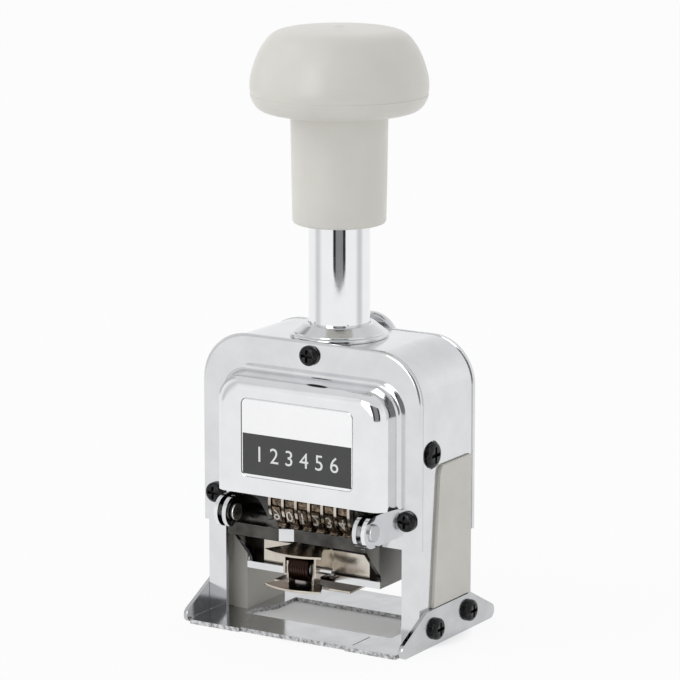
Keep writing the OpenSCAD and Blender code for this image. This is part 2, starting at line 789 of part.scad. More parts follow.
module selector_spindle() {
    y0 = rear_y + sheet_t + slide_gap + dial_t;
    color([0.05, 0.05, 0.05]) union() {
        bar_y(spindle_r, rear_y - sheet_t, y0 + hair, 0, dial_z);
        bar_y(spindle_r + spindle_flange, rear_y - sheet_t, rear_y - slide_gap, 0, dial_z);
        difference() {
            bar_y(2.9, y0, y0 + 1.2, 0, dial_z);
            translate([-3, y0 + 0.6, dial_z - 0.4]) cube([6, 1, 0.8]);
        }
    }
}

// ---- handle and carriage ----

// radius of the knob's side at a height above its widest place
function side_r(z) = knob_r - (knob_r - knob_top_r)*pow((z - knob_mid_z)/side_h(), 2);
function side_h() = handle_top - crown_h - knob_mid_z;
// radius of the knob's underside at a height below its widest place
function under_r(z) = let (t = (knob_mid_z - z)/(knob_mid_z - knob_z))
    neck_r + (knob_r - neck_r)*pow(max(0, 1 - pow(t, 2.4)), 1/2.4);

module handle_body() {
    under = [for (i = [0:12]) let (z = knob_z + (seam_z - knob_z)*pow(i/12, 2)) [under_r(z), z]];
    bore = tube_r + slide_gap;
    color([0.8, 0.79, 0.76]) rotate_extrude() polygon(concat(
        [[bore, skirt_z], [skirt_r - 1, skirt_z], [skirt_r - 0.3, skirt_z + 0.3],
         [skirt_r, skirt_z + 1]],
        under,
        [[recess_r, seam_z], [recess_r, web_z + web_t], [rod_thread_r + seat_gap, web_z + web_t],
         [rod_thread_r + seat_gap, web_z], [bore, web_z]]
    ));
}

module handle_cap() {
    top_z = handle_top - crown_h;
    rise = [for (i = [0:16]) let (z = seam_z + (top_z - seam_z)*i/16)
        [z < knob_mid_z ? under_r(z) : side_r(z), z]];
    crown = [for (a = [75:-15:0]) [knob_top_r*sin(a), top_z + crown_h*cos(a)]];
    ledge_z = seam_z + 1.2;
    inside = [for (i = [16:-1:0]) let (z = ledge_z + (top_z - 1 - ledge_z)*i/16)
        [(z < knob_mid_z ? under_r(z) : side_r(z)) - knob_wall, z]];
    spigot = recess_r - 0.2;
    color([0.8, 0.79, 0.76]) rotate_extrude() polygon(concat(
        rise, crown, [[0, top_z - 1]], inside,
        [[spigot - 1.6, ledge_z], [spigot - 1.6, seam_z - 1.6], [spigot, seam_z - 1.6],
         [spigot, seam_z]]
    ));
}

module hex_nut(r, h, bore) {
    difference() {
        cylinder(r = r, h = h, $fn = 6);
        translate([0, 0, -cut]) cylinder(r = bore, h = h + 2*cut);
    }
}

module handle_nut() {
    color([0.7, 0.71, 0.72]) translate([0, 0, web_z + web_t])
        hex_nut(5, 3.4, rod_thread_r + seat_gap);
}

module plunger_rod() {
    low = yoke_under - 4.6;
    high = web_z + web_t + 4.2;
    color([0.72, 0.73, 0.74]) union() {
        translate([0, 0, yoke_z]) cylinder(r = rod_r, h = web_z - yoke_z);
        translate([0, 0, low]) cylinder(r = rod_thread_r, h = high - low);
    }
}

module return_spring() {
    color([0.6, 0.6, 0.62]) translate([0, 0, spring_base])
        coil(return_r, return_wire, spring_top - spring_base, return_turns);
}

module yoke() {
    notch = cam_x - slide_gap;
    color([0.75, 0.76, 0.77]) difference() {
        union() {
            translate([-yoke_half, yoke_front_y, yoke_under])
                cube([2*yoke_half, yoke_rear_y - yoke_front_y, yoke_t]);
            both_sides() translate([yoke_half - wing_t, yoke_rear_y - wing_d, wing_z])
                cube([wing_t, wing_d, yoke_z - wing_z]);
        }
        translate([0, 0, yoke_under - cut])
            cylinder(r = rod_thread_r + seat_gap, h = yoke_t + 2*cut);
        translate([notch, cam_down[0], yoke_under - cut])
            cube([cam_t + cam_foot + 2*slide_gap, yoke_rear_y, yoke_t + 2*cut]);
        cheek_screw_places() translate([0, 0, -yoke_t - cut])
            cylinder(r = shank_r + seat_gap, h = yoke_t + 2*cut);
    }
}

module yoke_nut() {
    color([0.7, 0.71, 0.72]) translate([0, 0, yoke_under - 3.4])
        hex_nut(5, 3.4, rod_thread_r + seat_gap);
}

module stop_washer() {
    color([0.12, 0.12, 0.12]) difference() {
        translate([0, 0, yoke_z]) cylinder(r = washer_r, h = washer_top - yoke_z);
        translate([0, 0, yoke_z - cut]) cylinder(r = rod_r + seat_gap, h = washer_top);
    }
}

module cheek_screw_places() {
    for (y = [-4.5, 2.5]) both_sides()
        translate([cheek_x + cheek_foot_w - 2.6, y, yoke_z]) children();
}

module cheek() {
    difference() {
        union() {
            along_x(cheek_x, cheek_out) {
                translate([axle_y, axle_z]) circle(cheek_r);
                translate([roller_y, roller_z]) circle(roller_r + 1.2);
                translate([cheek_front_y, cheek_wide_z])
                    square([cheek_rear_y - cheek_front_y, yoke_under - cheek_wide_z]);
                translate([axle_y - cheek_r, axle_z]) square([2*cheek_r, cheek_wide_z - axle_z]);
            }
            translate([cheek_x, -7, yoke_under - sheet_t]) cube([cheek_foot_w, 12, sheet_t]);
        }
        bar_x(axle_r + seat_gap, 0, cheek_out + cut, axle_y, axle_z);
        bar_x(shaft_r + seat_gap, 0, cheek_out + cut, pawl_y, pawl_z);
        bar_x(shaft_r + seat_gap, 0, cheek_out + cut, detent_y, detent_z);
        cheek_screw_places() translate([0, 0, -yoke_t - sheet_t - cut])
            cylinder(r = shank_r + seat_gap, h = sheet_t + 2*cut);
    }
}

module right_cheek() {
    color([0.42, 0.42, 0.43]) cheek();
}

module left_cheek() {
    color([0.42, 0.42, 0.43]) mirror([1, 0, 0]) cheek();
}

module cheek_screws() {
    color([0.6, 0.61, 0.62]) cheek_screw_places() pan_screw(2.4, yoke_t + sheet_t + 0.6);
}

module wheel_axle() {
    color([0.7, 0.71, 0.72]) bar_x(axle_r, -cheek_out - 1.6, cheek_out + 1.6, axle_y, axle_z);
}

module axle_clips() {
    color([0.25, 0.25, 0.26]) both_sides() difference() {
        bar_x(axle_r + 1.5, cheek_out, cheek_out + 0.8, axle_y, axle_z);
        bar_x(axle_r + seat_gap, cheek_out - cut, cheek_out + 2, axle_y, axle_z);
    }
}

module axle_spacer() {
    x0 = -cheek_x + 0.1;
    color([0.7, 0.6, 0.35]) difference() {
        bar_x(axle_r + 1.5, x0, block_left - 0.1, axle_y, axle_z);
        bar_x(axle_r + seat_gap, x0 - cut, block_left, axle_y, axle_z);
    }
}

// a ring sector about the axle, from angle a0 to a1 leaning forward from upright
module sector_x(r0, r1, a0, a1, x0, x1) {
    reach = r1 + cut;
    mid = (a0 + a1)/2;
    intersection() {
        along_x(x0, x1) translate([axle_y, axle_z]) difference() {
            circle(r1);
            circle(r0);
        }
        along_x(x0 - hair, x1 + hair) translate([axle_y, axle_z]) polygon([
            [0, 0], [-reach*2*sin(a0), reach*2*cos(a0)], [-reach*2*sin(mid), reach*2*cos(mid)],
            [-reach*2*sin(a1), reach*2*cos(a1)]
        ]);
    }
}

module type_guard() {
    bar_r = type_r + 0.4;
    bar_end = guard_start + guard_bar_angle;
    color([0.8, 0.79, 0.75]) union() {
        sector_x(bar_r, bar_r + guard_bar_t, guard_start, bar_end, -cheek_x, cheek_x);
        for (i = [0:wheel_count]) {
            x = slot_x(i);
            sector_x(guard_r, bar_r + hair, guard_start, bar_end, x - finger_w/2, x + finger_w/2);
            sector_x(guard_r, guard_r + guard_depth, bar_end - 1, guard_end,
                x - finger_w/2, x + finger_w/2);
        }
    }
}

// a slanted blade in the Y-Z plane from point a to point b
module blade(a, b, t, x0, x1) {
    n = [a[1] - b[1], b[0] - a[0]]*t/2/norm(b - a);
    along_x(x0, x1) polygon([a + n, b + n, b - n, a - n]);
}

module detent_comb() {
    tip = [axle_y + (ratchet_r + 0.5)*sin(20), axle_z + (ratchet_r + 0.5)*cos(20)];
    color([0.65, 0.66, 0.68]) union() {
        bar_x(shaft_r, -cheek_out - 0.6, cheek_out + 0.6, detent_y, detent_z);
        for (i = [1:wheel_count])
            blade([detent_y, detent_z], tip, leaf_t, slot_x(i) - 0.35, slot_x(i) + 0.35);
    }
}

module pawl_shaft() {
    color([0.7, 0.71, 0.72])
        bar_x(shaft_r, -cheek_out - 0.6, lever_x + lever_t, pawl_y, pawl_z);
}

module tray_rollers() {
    color([0.7, 0.71, 0.72]) both_sides()
        bar_x(roller_r, roller_in, arm_out, roller_y, roller_z);
}

module number_wheel(i) {
    x0 = wheel_x(i) - drum_w/2;
    color([0.55, 0.45, 0.33]) difference() {
        union() {
            bar_x(drum_r, x0, x0 + drum_w, axle_y, axle_z);
            for (k = [0:places - 1]) translate([wheel_x(i), axle_y, axle_z])
                rotate([360*k/places, 0, 0])
                    translate([-type_w/2, -type_h/2, -type_r + 0.2]) cube([type_w, type_h, 1.4]);
        }
        bar_x(axle_r + run_gap, x0 - cut, x0 + drum_w + cut, axle_y, axle_z);
    }
}

module ratchet_wheel(i) {
    x0 = wheel_x(i) + drum_w/2;
    teeth = [for (k = [0:places - 1]) each [
        [ratchet_r*cos(360*k/places), ratchet_r*sin(360*k/places)],
        [(ratchet_r - tooth_depth)*cos(360*(k + 0.12)/places),
         (ratchet_r - tooth_depth)*sin(360*(k + 0.12)/places)]]];
    color([0.6, 0.6, 0.6]) difference() {
        along_x(x0, x0 + ratchet_w) translate([axle_y, axle_z]) polygon(teeth);
        bar_x(hub_r, x0 - cut, x0 + ratchet_w + cut, axle_y, axle_z);
    }
}

// ---- feed ----

module pawl_comb() {
    tip = [axle_y + (ratchet_r + 0.6)*cos(8), axle_z - (ratchet_r + 0.6)*sin(8)];
    half = cheek_x - 0.4;
    color([0.5, 0.5, 0.52]) difference() {
        union() {
            bar_x(barrel_r, -half, half, pawl_y, pawl_z);
            for (i = [1:wheel_count])
                blade([pawl_y, pawl_z], tip, 1.2, slot_x(i) - 0.35, slot_x(i) + 0.35);
        }
        bar_x(shaft_r + run_gap, -half - cut, half + cut, pawl_y, pawl_z);
    }
}

module feed_lever() {
    color([0.5, 0.5, 0.52]) difference() {
        union() {
            bar_x(barrel_r, lever_x, lever_x + lever_t, pawl_y, pawl_z);
            blade([pawl_y, pawl_z], cam_rest, 2.4, lever_x, lever_x + lever_t);
            bar_x(feed_roller_r, lever_x, cam_x + cam_t + 0.3, cam_rest[0], cam_rest[1]);
        }
        bar_x(shaft_r + run_gap, lever_x - cut, lever_x + lever_t + cut, pawl_y, pawl_z);
    }
}

// ---- ink tray ----

module arm_outline() {
    translate([pivot_y, pivot_z]) circle(lug_r);
    polygon([
        [pivot_y - 0.3, pivot_z - lug_r], [pivot_y + 3.7, pivot_z - 9],
        [tray_front_y + 0.4, tray_z + 4.7], [tray_front_y + 1.2, tray_z],
        [tray_rear_y + 0.4, tray_z], [tray_rear_y + 0.4, tray_z + 6], [roller_y + 2, arm_edge],
        [roller_y - 2, arm_edge], [pivot_y + 8.6, pivot_z - 4.4], [pivot_y + 3.9, pivot_z + 1.8]
    ]);
}

module tray_frame() {
    back = strip_t;
    mid = (strip_t + strip_step)/2;
    color([0.8, 0.8, 0.8]) difference() {
        union() {
            both_sides() along_x(arm_in, arm_out) arm_outline();
            translate([-arm_out, tray_front_y, tray_z])
                cube([2*arm_out, tray_rear_y - tray_front_y, sheet_t]);
            translate([-arm_out, tray_front_y, tray_z]) cube([2*arm_out, 1, lip_h]);
            translate([0, pivot_y, strip_z]) linear_extrude(strip_h) polygon([
                [-arm_out, -mid], [-4.9, -mid], [-1.1, mid - back], [arm_out, mid - back],
                [arm_out, mid], [-1.5, mid], [-5.3, back - mid], [-arm_out, back - mid]
            ]);
        }
        bar_x(pivot_r + run_gap, -lug_x, lug_x, pivot_y, pivot_z);
    }
}

module pad_holder() {
    color([0.42, 0.38, 0.34]) translate([-holder_half, holder_front_y, tray_top]) difference() {
        cube([2*holder_half, holder_rear_y - holder_front_y, holder_h]);
        translate([holder_wall, holder_wall, holder_wall])
            cube([2*(holder_half - holder_wall),
                  holder_rear_y - holder_front_y - 2*holder_wall, holder_h]);
    }
}

module ink_pad() {
    gap = holder_wall + 0.1;
    color([0.1, 0.08, 0.12])
        translate([gap - holder_half, holder_front_y + gap, tray_top + holder_wall])
            cube([2*(holder_half - gap), holder_rear_y - holder_front_y - 2*gap,
                  pad_top - tray_top - holder_wall]);
}

// a leaf with a bowed front edge, its corners drawn to points
module leaf_outline(half, rear) {
    bow = [for (t = [-1:0.125:1]) [t*half, leaf_front_y + 2.4*t*t]];
    polygon(concat(bow, [[0.62*half, clip_y + 1], [0.62*half, rear], [-0.62*half, rear],
                         [-0.62*half, clip_y + 1]]));
}

module clip_upper() {
    web_y = holder_front_y - clip_t;
    post_z = clip_z - 2;
    color([0.62, 0.55, 0.48]) difference() {
        union() {
            translate([0, 0, upper_leaf_z]) linear_extrude(clip_t)
                leaf_outline(leaf_half, holder_front_y);
            translate([-0.6*leaf_half, web_y, tray_top + lip_h])
                cube([1.2*leaf_half, clip_t, upper_leaf_z - tray_top - lip_h + hair]);
            both_sides() translate([post_x, clip_y - 2, post_z])
                cube([clip_t, web_y - clip_y + 2 + hair, upper_leaf_z - post_z + hair]);
        }
        bar_x(clip_pin_r + seat_gap, -leaf_half, leaf_half, clip_y, clip_z);
    }
}

module clip_lower() {
    slope_y = tray_front_y - 0.6;
    color([0.62, 0.55, 0.48]) difference() {
        union() {
            translate([0, 0, lower_leaf_z]) linear_extrude(clip_t)
                leaf_outline(leaf_half, clip_y + 1.4);
            along_x(-0.6*leaf_half, 0.6*leaf_half) polygon([
                [clip_y + 1.4, lower_leaf_z], [slope_y, jaw_z], [slope_y + 1, jaw_z],
                [slope_y + 1, jaw_z + clip_t], [slope_y, jaw_z + clip_t],
                [clip_y + 1.4, lower_leaf_z + clip_t]
            ]);
            translate([-jaw_half, slope_y, jaw_z])
                cube([2*jaw_half, jaw_rear_y - slope_y, clip_t]);
            both_sides() translate([clip_post_in, clip_y - 1.8, lower_leaf_z])
                cube([clip_t, 3.6, clip_z + 1.8 - lower_leaf_z]);
        }
        bar_x(clip_pin_r + run_gap, -leaf_half, leaf_half, clip_y, clip_z);
    }
}

module clip_pin() {
    color([0.75, 0.76, 0.77]) union() {
        bar_x(clip_pin_r, -post_x - clip_t - 0.8, leaf_half + 0.4, clip_y, clip_z);
        bar_x(clip_pin_r + 1.2, -clip_post_in + 0.3, clip_post_in - 0.3, clip_y, clip_z);
    }
}

module clip_spring() {
    len = 2*clip_post_in - 0.2;
    color([0.3, 0.2, 0.18]) translate([-len/2, clip_y, clip_z]) rotate([0, 90, 0])
        coil(clip_coil_r, clip_wire, len, clip_turns);
}

// ---- drawing ----

base_plate();
base_screws();
casing();
front_cover();
label_plate();
rear_cover();
cover_screws();
rear_screws();
left_liner();
right_liner();
side_screws();
guide_tube();
tube_collar();
tube_nut();
rod_bush();
tray_pivots();
feed_cam();
selector_dial();
selector_spindle();
handle_body();
handle_cap();
handle_nut();
plunger_rod();
return_spring();
yoke();
yoke_nut();
stop_washer();
left_cheek();
right_cheek();
cheek_screws();
wheel_axle();
axle_clips();
axle_spacer();
type_guard();
detent_comb();
pawl_shaft();
tray_rollers();
number_wheel(1);  // number_wheel_1
number_wheel(2);  // number_wheel_2
number_wheel(3);  // number_wheel_3
number_wheel(4);  // number_wheel_4
number_wheel(5);  // number_wheel_5
number_wheel(6);  // number_wheel_6
ratchet_wheel(1);  // ratchet_wheel_1
ratchet_wheel(2);  // ratchet_wheel_2
ratchet_wheel(3);  // ratchet_wheel_3
ratchet_wheel(4);  // ratchet_wheel_4
ratchet_wheel(5);  // ratchet_wheel_5
ratchet_wheel(6);  // ratchet_wheel_6
pawl_comb();
feed_lever();
tray_frame();
pad_holder();
ink_pad();
clip_upper();
clip_pin();
clip_spring();
clip_lower();
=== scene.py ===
import json
import math

import bmesh
import bpy
from mathutils import Matrix, Vector


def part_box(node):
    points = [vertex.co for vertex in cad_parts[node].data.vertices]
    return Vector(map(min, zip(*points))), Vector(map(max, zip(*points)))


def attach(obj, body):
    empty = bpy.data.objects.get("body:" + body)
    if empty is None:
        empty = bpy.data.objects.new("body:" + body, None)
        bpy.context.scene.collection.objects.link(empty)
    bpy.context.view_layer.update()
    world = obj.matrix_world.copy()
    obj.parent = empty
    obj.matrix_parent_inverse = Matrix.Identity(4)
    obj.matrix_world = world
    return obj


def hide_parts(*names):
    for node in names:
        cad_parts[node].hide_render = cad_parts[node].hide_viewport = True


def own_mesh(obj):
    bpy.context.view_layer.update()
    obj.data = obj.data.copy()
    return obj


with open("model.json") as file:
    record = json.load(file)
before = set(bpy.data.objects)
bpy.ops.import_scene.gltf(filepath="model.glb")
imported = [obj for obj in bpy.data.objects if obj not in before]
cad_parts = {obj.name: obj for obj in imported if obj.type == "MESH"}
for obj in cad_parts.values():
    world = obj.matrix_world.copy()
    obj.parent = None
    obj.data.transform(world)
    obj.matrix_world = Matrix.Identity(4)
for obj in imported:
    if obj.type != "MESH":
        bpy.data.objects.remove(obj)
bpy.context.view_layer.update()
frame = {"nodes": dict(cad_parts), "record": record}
cad = frame["nodes"]
record = frame["record"]

MM = 0.001
WELD = 0.01 * MM
body_for = {node: body for body, names in record["behaviour"]["bodies"].items() for node in names}
slot_for = {part["node"]: part["material_slot"] for part in record["subparts"]}

scene = bpy.context.scene
scene.view_settings.view_transform = "Standard"


# ---- where things are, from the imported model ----

def span(node, axis):
    """Lowest and highest place of a CAD node along x, y or z, in mm."""
    low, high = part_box(node)
    index = "xyz".index(axis)
    return low[index] / MM, high[index] / MM


def middle(node, axis):
    """Middle of a CAD node along x, y or z, in mm."""
    low, high = span(node, axis)
    return (low + high) / 2


handle_foot_z = span("handle_body", "z")[0]
tube_r = span("guide_tube", "x")[1]
cover_half = span("front_cover", "x")[1]
cover_low_z, cover_top_z = span("front_cover", "z")
label_half = span("label_plate", "x")[1]
label_face_y = span("label_plate", "y")[0]
label_low_z, label_high_z = span("label_plate", "z")
axle_y, axle_z = middle("wheel_axle", "y"), middle("wheel_axle", "z")
pivot_y, pivot_z = middle("tray_pivots", "y"), middle("tray_pivots", "z")
lug_x = 22.8


# ---- materials ----

class Finish:
    """A material with one Principled shader that reads object coordinates."""

    def __init__(self, name):
        self.material = bpy.data.materials.new(name)
        self.material.use_nodes = True
        self.tree = self.material.node_tree
        self.shader = self.tree.nodes["Principled BSDF"]
        self.surface = self.tree.nodes["Material Output"].inputs[0]
        self.place = self.tree.nodes.new("ShaderNodeTexCoord").outputs["Object"]

    def link(self, source, target):
        self.tree.links.new(source, target)

    def stretched(self, x, y, z):
        """The place with its axes scaled, for a grain that runs one way."""
        node = self.tree.nodes.new("ShaderNodeMapping")
        node.inputs["Scale"].default_value = (x, y, z)
        self.link(self.place, node.inputs["Vector"])
        return node.outputs[0]

    def noise(self, size_mm, detail=3, rough=0.5, place=None):
        """Cloudy noise whose patches are about size_mm across."""
        node = self.tree.nodes.new("ShaderNodeTexNoise")
        node.inputs["Scale"].default_value = 1 / (size_mm * MM)
        node.inputs["Detail"].default_value = detail
        node.inputs["Roughness"].default_value = rough
        self.link(place or self.place, node.inputs["Vector"])
        return node.outputs["Fac"]

    def ramp(self, source, *stops):
        """A colour ramp with stops of (place, grey or colour)."""
        node = self.tree.nodes.new("ShaderNodeValToRGB")
        band = node.color_ramp
        while len(band.elements) < len(stops):
            band.elements.new(0.5)
        for element, (place, shade) in zip(band.elements, stops):
            element.position = place
            element.color = (*shade, 1) if isinstance(shade, tuple) else (shade, shade, shade, 1)
        self.link(source, node.inputs["Fac"])
        return node.outputs["Color"]

    def blend(self, factor, first, second):
        """first where factor is 0, second where it is 1."""
        node = self.tree.nodes.new("ShaderNodeMix")
        node.data_type = "RGBA"
        colour_a, colour_b, mixed_colour = node.inputs[6], node.inputs[7], node.outputs[2]
        self.link(factor, node.inputs["Factor"])
        for value, socket in ((first, colour_a), (second, colour_b)):
            if isinstance(value, tuple):
                socket.default_value = (*value, 1)
            else:
                self.link(value, socket)
        return mixed_colour

    def relief(self, source, height_mm, strength=1.0, under=None):
        """Bumps of about height_mm from a noise, over those of under."""
        node = self.tree.nodes.new("ShaderNodeBump")
        node.inputs["Strength"].default_value = strength
        node.inputs["Distance"].default_value = height_mm * MM
        self.link(source, node.inputs["Height"])
        if under:
            self.link(under, node.inputs["Normal"])
        self.link(node.outputs["Normal"], self.shader.inputs["Normal"])
        return node.outputs["Normal"]

    def colour(self, source):
        self.link(source, self.shader.inputs["Base Color"])

    def roughness(self, source):
        self.link(source, self.shader.inputs["Roughness"])

    def node(self, kind, source=None, **settings):
        """A plain node with its settings, fed by source, and its first output."""
        node = self.tree.nodes.new(kind)
        for setting, value in settings.items():
            setattr(node, setting, value)
        if source:
            self.link(source, node.inputs[0])
        return node.outputs[0]

    def set(self, **values):
        for socket, value in values.items():
            self.shader.inputs[socket.replace("_", " ")].default_value = value


def plated(name, bright, dull, gloss, wave_mm, grain_mm, patch_mm=9, grain_size_mm=0.25):
    """Plated sheet: a faint wave from pressing, a fine grain, and patches that shine less."""
    f = Finish(name)
    f.set(Metallic=1.0)
    patches = f.noise(patch_mm, 4, 0.6)
    f.colour(f.blend(f.ramp(patches, (0.35, 0.0), (0.75, 1.0)), bright, dull))
    f.roughness(f.ramp(f.noise(patch_mm * 0.4, 5, 0.65), (0.3, gloss[0]), (0.75, gloss[1])))
    wave = f.relief(f.noise(patch_mm * 0.8, 1, 0.4), wave_mm, 0.6)
    f.relief(f.noise(grain_size_mm, 2, 0.6), grain_mm, 0.5, wave)
    return f.material


def brushed(name, bright, dull, gloss, run):
    """Brushed metal: fine lines that run along one axis."""
    f = Finish(name)
    f.set(Metallic=1.0)
    lines = f.noise(1.0, 4, 0.7, f.stretched(*run))
    f.colour(f.blend(f.noise(6, 4, 0.6), bright, dull))
    f.roughness(f.ramp(lines, (0.25, gloss[0]), (0.8, gloss[1])))
    f.relief(lines, 0.012, 0.5)
    return f.material


def moulded(name, pale, shaded, gloss, grain_mm=0.012):
    """Moulded plastic: even colour with a faint flow pattern and a fine eggshell grain."""
    f = Finish(name)
    f.set(IOR=1.46)
    f.colour(f.blend(f.ramp(f.noise(14, 3, 0.5), (0.3, 0.0), (0.75, 1.0)), pale, shaded))
    f.roughness(f.ramp(f.noise(3, 5, 0.6), (0.3, gloss[0]), (0.75, gloss[1])))
    flow = f.relief(f.noise(5, 2, 0.5), 0.03, 0.5)
    f.relief(f.noise(0.22, 3, 0.6), grain_mm, 0.6, flow)
    return f.material


def blackened(name):
    """Black-plated screw steel: nearly black, greyer where it is rubbed."""
    f = Finish(name)
    f.set(Metallic=0.75)
    rubbed = f.ramp(f.noise(0.9, 5, 0.7), (0.45, 0.0), (0.8, 1.0))
    f.colour(f.blend(rubbed, (0.012, 0.012, 0.013), (0.06, 0.06, 0.062)))
    f.roughness(f.ramp(f.noise(0.5, 4, 0.6), (0.3, 0.2), (0.7, 0.42)))
    f.relief(f.noise(0.3, 3, 0.6), 0.01, 0.5)
    return f.material


def inked_plastic(name, lit_colour, dark_colour):
    """Plastic with painted shade that darkens it towards the top, where the wheels run."""
    lit_top, shaded_from = 22 * MM, 27 * MM
    f = Finish(name)
    split = f.tree.nodes.new("ShaderNodeSeparateXYZ")
    f.link(f.place, split.inputs[0])
    # Painted shade: lit colour below about 22 mm, dark from 27 mm up.
    f.colour(f.blend(f.ramp(split.outputs["Z"], (lit_top, 0.0), (shaded_from, 1.0)), lit_colour, dark_colour))
    f.roughness(f.ramp(f.noise(2.5, 5, 0.6), (0.3, 0.36), (0.75, 0.5)))
    f.relief(f.noise(0.22, 3, 0.6), 0.01, 0.5)
    return f.material


def felt(name, dark, pale):
    """Inked felt: matted fibres."""
    f = Finish(name)
    fibres = f.noise(0.18, 6, 0.75)
    f.colour(f.blend(fibres, dark, pale))
    f.roughness(f.ramp(fibres, (0.2, 0.75), (0.8, 1.0)))
    f.relief(fibres, 0.12, 0.9)
    return f.material


def inked_metal(name, metal, dark_colour, low, high, gloss, shine=0.9):
    """Type metal with ink left in patches."""
    f = Finish(name)
    f.set(Metallic=shine)
    stain = f.ramp(f.noise(1.1, 5, 0.65), (low, 0.0), (high, 1.0))
    f.colour(f.blend(stain, metal, dark_colour))
    f.roughness(f.ramp(f.noise(0.6, 4, 0.6), (0.3, gloss[0]), (0.7, gloss[1])))
    f.relief(f.noise(0.25, 3, 0.6), 0.02, 0.5)
    return f.material


even_grain = (900, 900, 900)
finishes = {
    "chrome": plated("satin_chrome", (0.73, 0.737, 0.75), (0.66, 0.668, 0.682), (0.09, 0.17),
                     0.035, 0.005),
    "cover_chrome": plated("polished_chrome", (0.83, 0.836, 0.848), (0.77, 0.778, 0.79),
                           (0.06, 0.12), 0.025, 0.002),
    "black_screw": blackened("black_screw_steel"),
    "liner_plastic": moulded("liner_plastic", (0.70, 0.68, 0.62), (0.64, 0.62, 0.565), (0.36, 0.5)),
    "handle_plastic": moulded("handle_plastic", (0.755, 0.735, 0.68), (0.71, 0.69, 0.635),
                              (0.29, 0.38), 0.006),
    "label": brushed("label_sheet", (0.88, 0.88, 0.885), (0.84, 0.84, 0.85), (0.35, 0.5),
                     (80, 2500, 900)),
    "steel": brushed("bright_steel", (0.72, 0.725, 0.73), (0.62, 0.625, 0.635), (0.14, 0.26),
                     (120, 1500, 1500)),
    "dark_steel": brushed("dark_steel", (0.12, 0.118, 0.115), (0.07, 0.068, 0.066), (0.22, 0.4),
                          (120, 1500, 1500)),
    "spring_steel": brushed("spring_wire", (0.55, 0.55, 0.56), (0.42, 0.42, 0.43), (0.2, 0.34),
                            even_grain),
    "bronze_bush": brushed("bronze", (0.62, 0.43, 0.22), (0.5, 0.33, 0.16), (0.3, 0.45),
                           (900, 900, 90)),
    "type_metal": inked_metal("inked_type_metal", (0.33, 0.25, 0.18), (0.028, 0.02, 0.016),
                              0.35, 0.62, (0.16, 0.32)),
    "nickel": plated("warm_nickel", (0.62, 0.57, 0.50), (0.46, 0.41, 0.35), (0.14, 0.26),
                     0.03, 0.004, 5),
    "holder_metal": plated("holder_metal", (0.66, 0.62, 0.56), (0.52, 0.47, 0.41), (0.14, 0.26),
                           0.03, 0.005, 6),
    "pad_felt": felt("inked_felt", (0.012, 0.01, 0.012), (0.05, 0.045, 0.05)),
    "washer_rubber": moulded("stop_rubber", (0.03, 0.03, 0.032), (0.02, 0.02, 0.022), (0.6, 0.8)),
}
# Painted shade: a near-black brushed finish for faces inside the hood and cover, where shade falls.
painted_shade_inside = brushed("painted_shade_inside", (0.10, 0.10, 0.10), (0.05, 0.05, 0.05), (0.3, 0.5),
                      (300, 300, 900))
tube_chrome = plated("tube_chrome", (0.86, 0.868, 0.88), (0.82, 0.828, 0.84), (0.03, 0.07),
                     0.01, 0.001)
# Painted shade in its darker colour, over a scuffed roughness.
base_chrome = plated("shaded_and_scuffed_chrome", (0.55, 0.556, 0.568), (0.44, 0.446, 0.458), (0.07, 0.2),
                     0.03, 0.01)
rim_shadow = plated("rim_shadow", (0.44, 0.444, 0.452), (0.34, 0.344, 0.352), (0.2, 0.4),
                    0.02, 0.004)
# Painted shade: near-black nickel for the ink tray's faces.
shadow_nickel = plated("shade_painted_nickel", (0.10, 0.096, 0.09), (0.035, 0.033, 0.03), (0.08, 0.2),
                       0.03, 0.003, 5)
sheared = inked_metal("sheared_edge", (0.70, 0.70, 0.71), (0.16, 0.16, 0.165), 0.38, 0.66,
                      (0.3, 0.5))
band_print = moulded("label_band", (0.052, 0.052, 0.053), (0.045, 0.045, 0.046), (0.34, 0.46),
                     0.004)
white_print = moulded("label_numbers", (0.86, 0.86, 0.86), (0.8, 0.8, 0.8), (0.4, 0.5), 0.003)
type_face = inked_metal("worn_type_face", (0.85, 0.83, 0.79), (0.12, 0.1, 0.08), 0.5, 0.72,
                        (0.2, 0.34), 0.4)
# Painted shade: a flat mid grey for the inward faces of the casing's legs, in place of chrome.
shade_painted_grey = brushed("shade_painted_grey", (0.42, 0.42, 0.42), (0.3, 0.3, 0.3), (0.34, 0.5),
                      (300, 300, 900))
# Painted shade on the liners' inner faces, darker towards the top.
shade_painted_liner = inked_plastic("shade_painted_liner", (0.62, 0.6, 0.545), (0.05, 0.047, 0.042))
# Painted shade: dark brown nickel for the clip leaf's top faces.
brown_shade_nickel = plated("brown_shade_nickel", (0.22, 0.165, 0.13), (0.12, 0.09, 0.07), (0.12, 0.24),
                      0.03, 0.003, 5)
coil_wire = brushed("coil_wire", (0.07, 0.036, 0.03), (0.025, 0.015, 0.013), (0.16, 0.3),
                    even_grain)


# ---- building pieces ----

def placed(name, data):
    """A new object in the scene."""
    thing = bpy.data.objects.new(name, data)
    scene.collection.objects.link(thing)
    return thing


def meshed(shape, name):
    """A mesh of a bmesh, which is used up."""
    mesh = bpy.data.meshes.new(name)
    shape.to_mesh(mesh)
    shape.free()
    return mesh


def new_verts(grown):
    """The vertices that an extrusion made."""
    return [item for item in grown["geom"] if isinstance(item, bmesh.types.BMVert)]


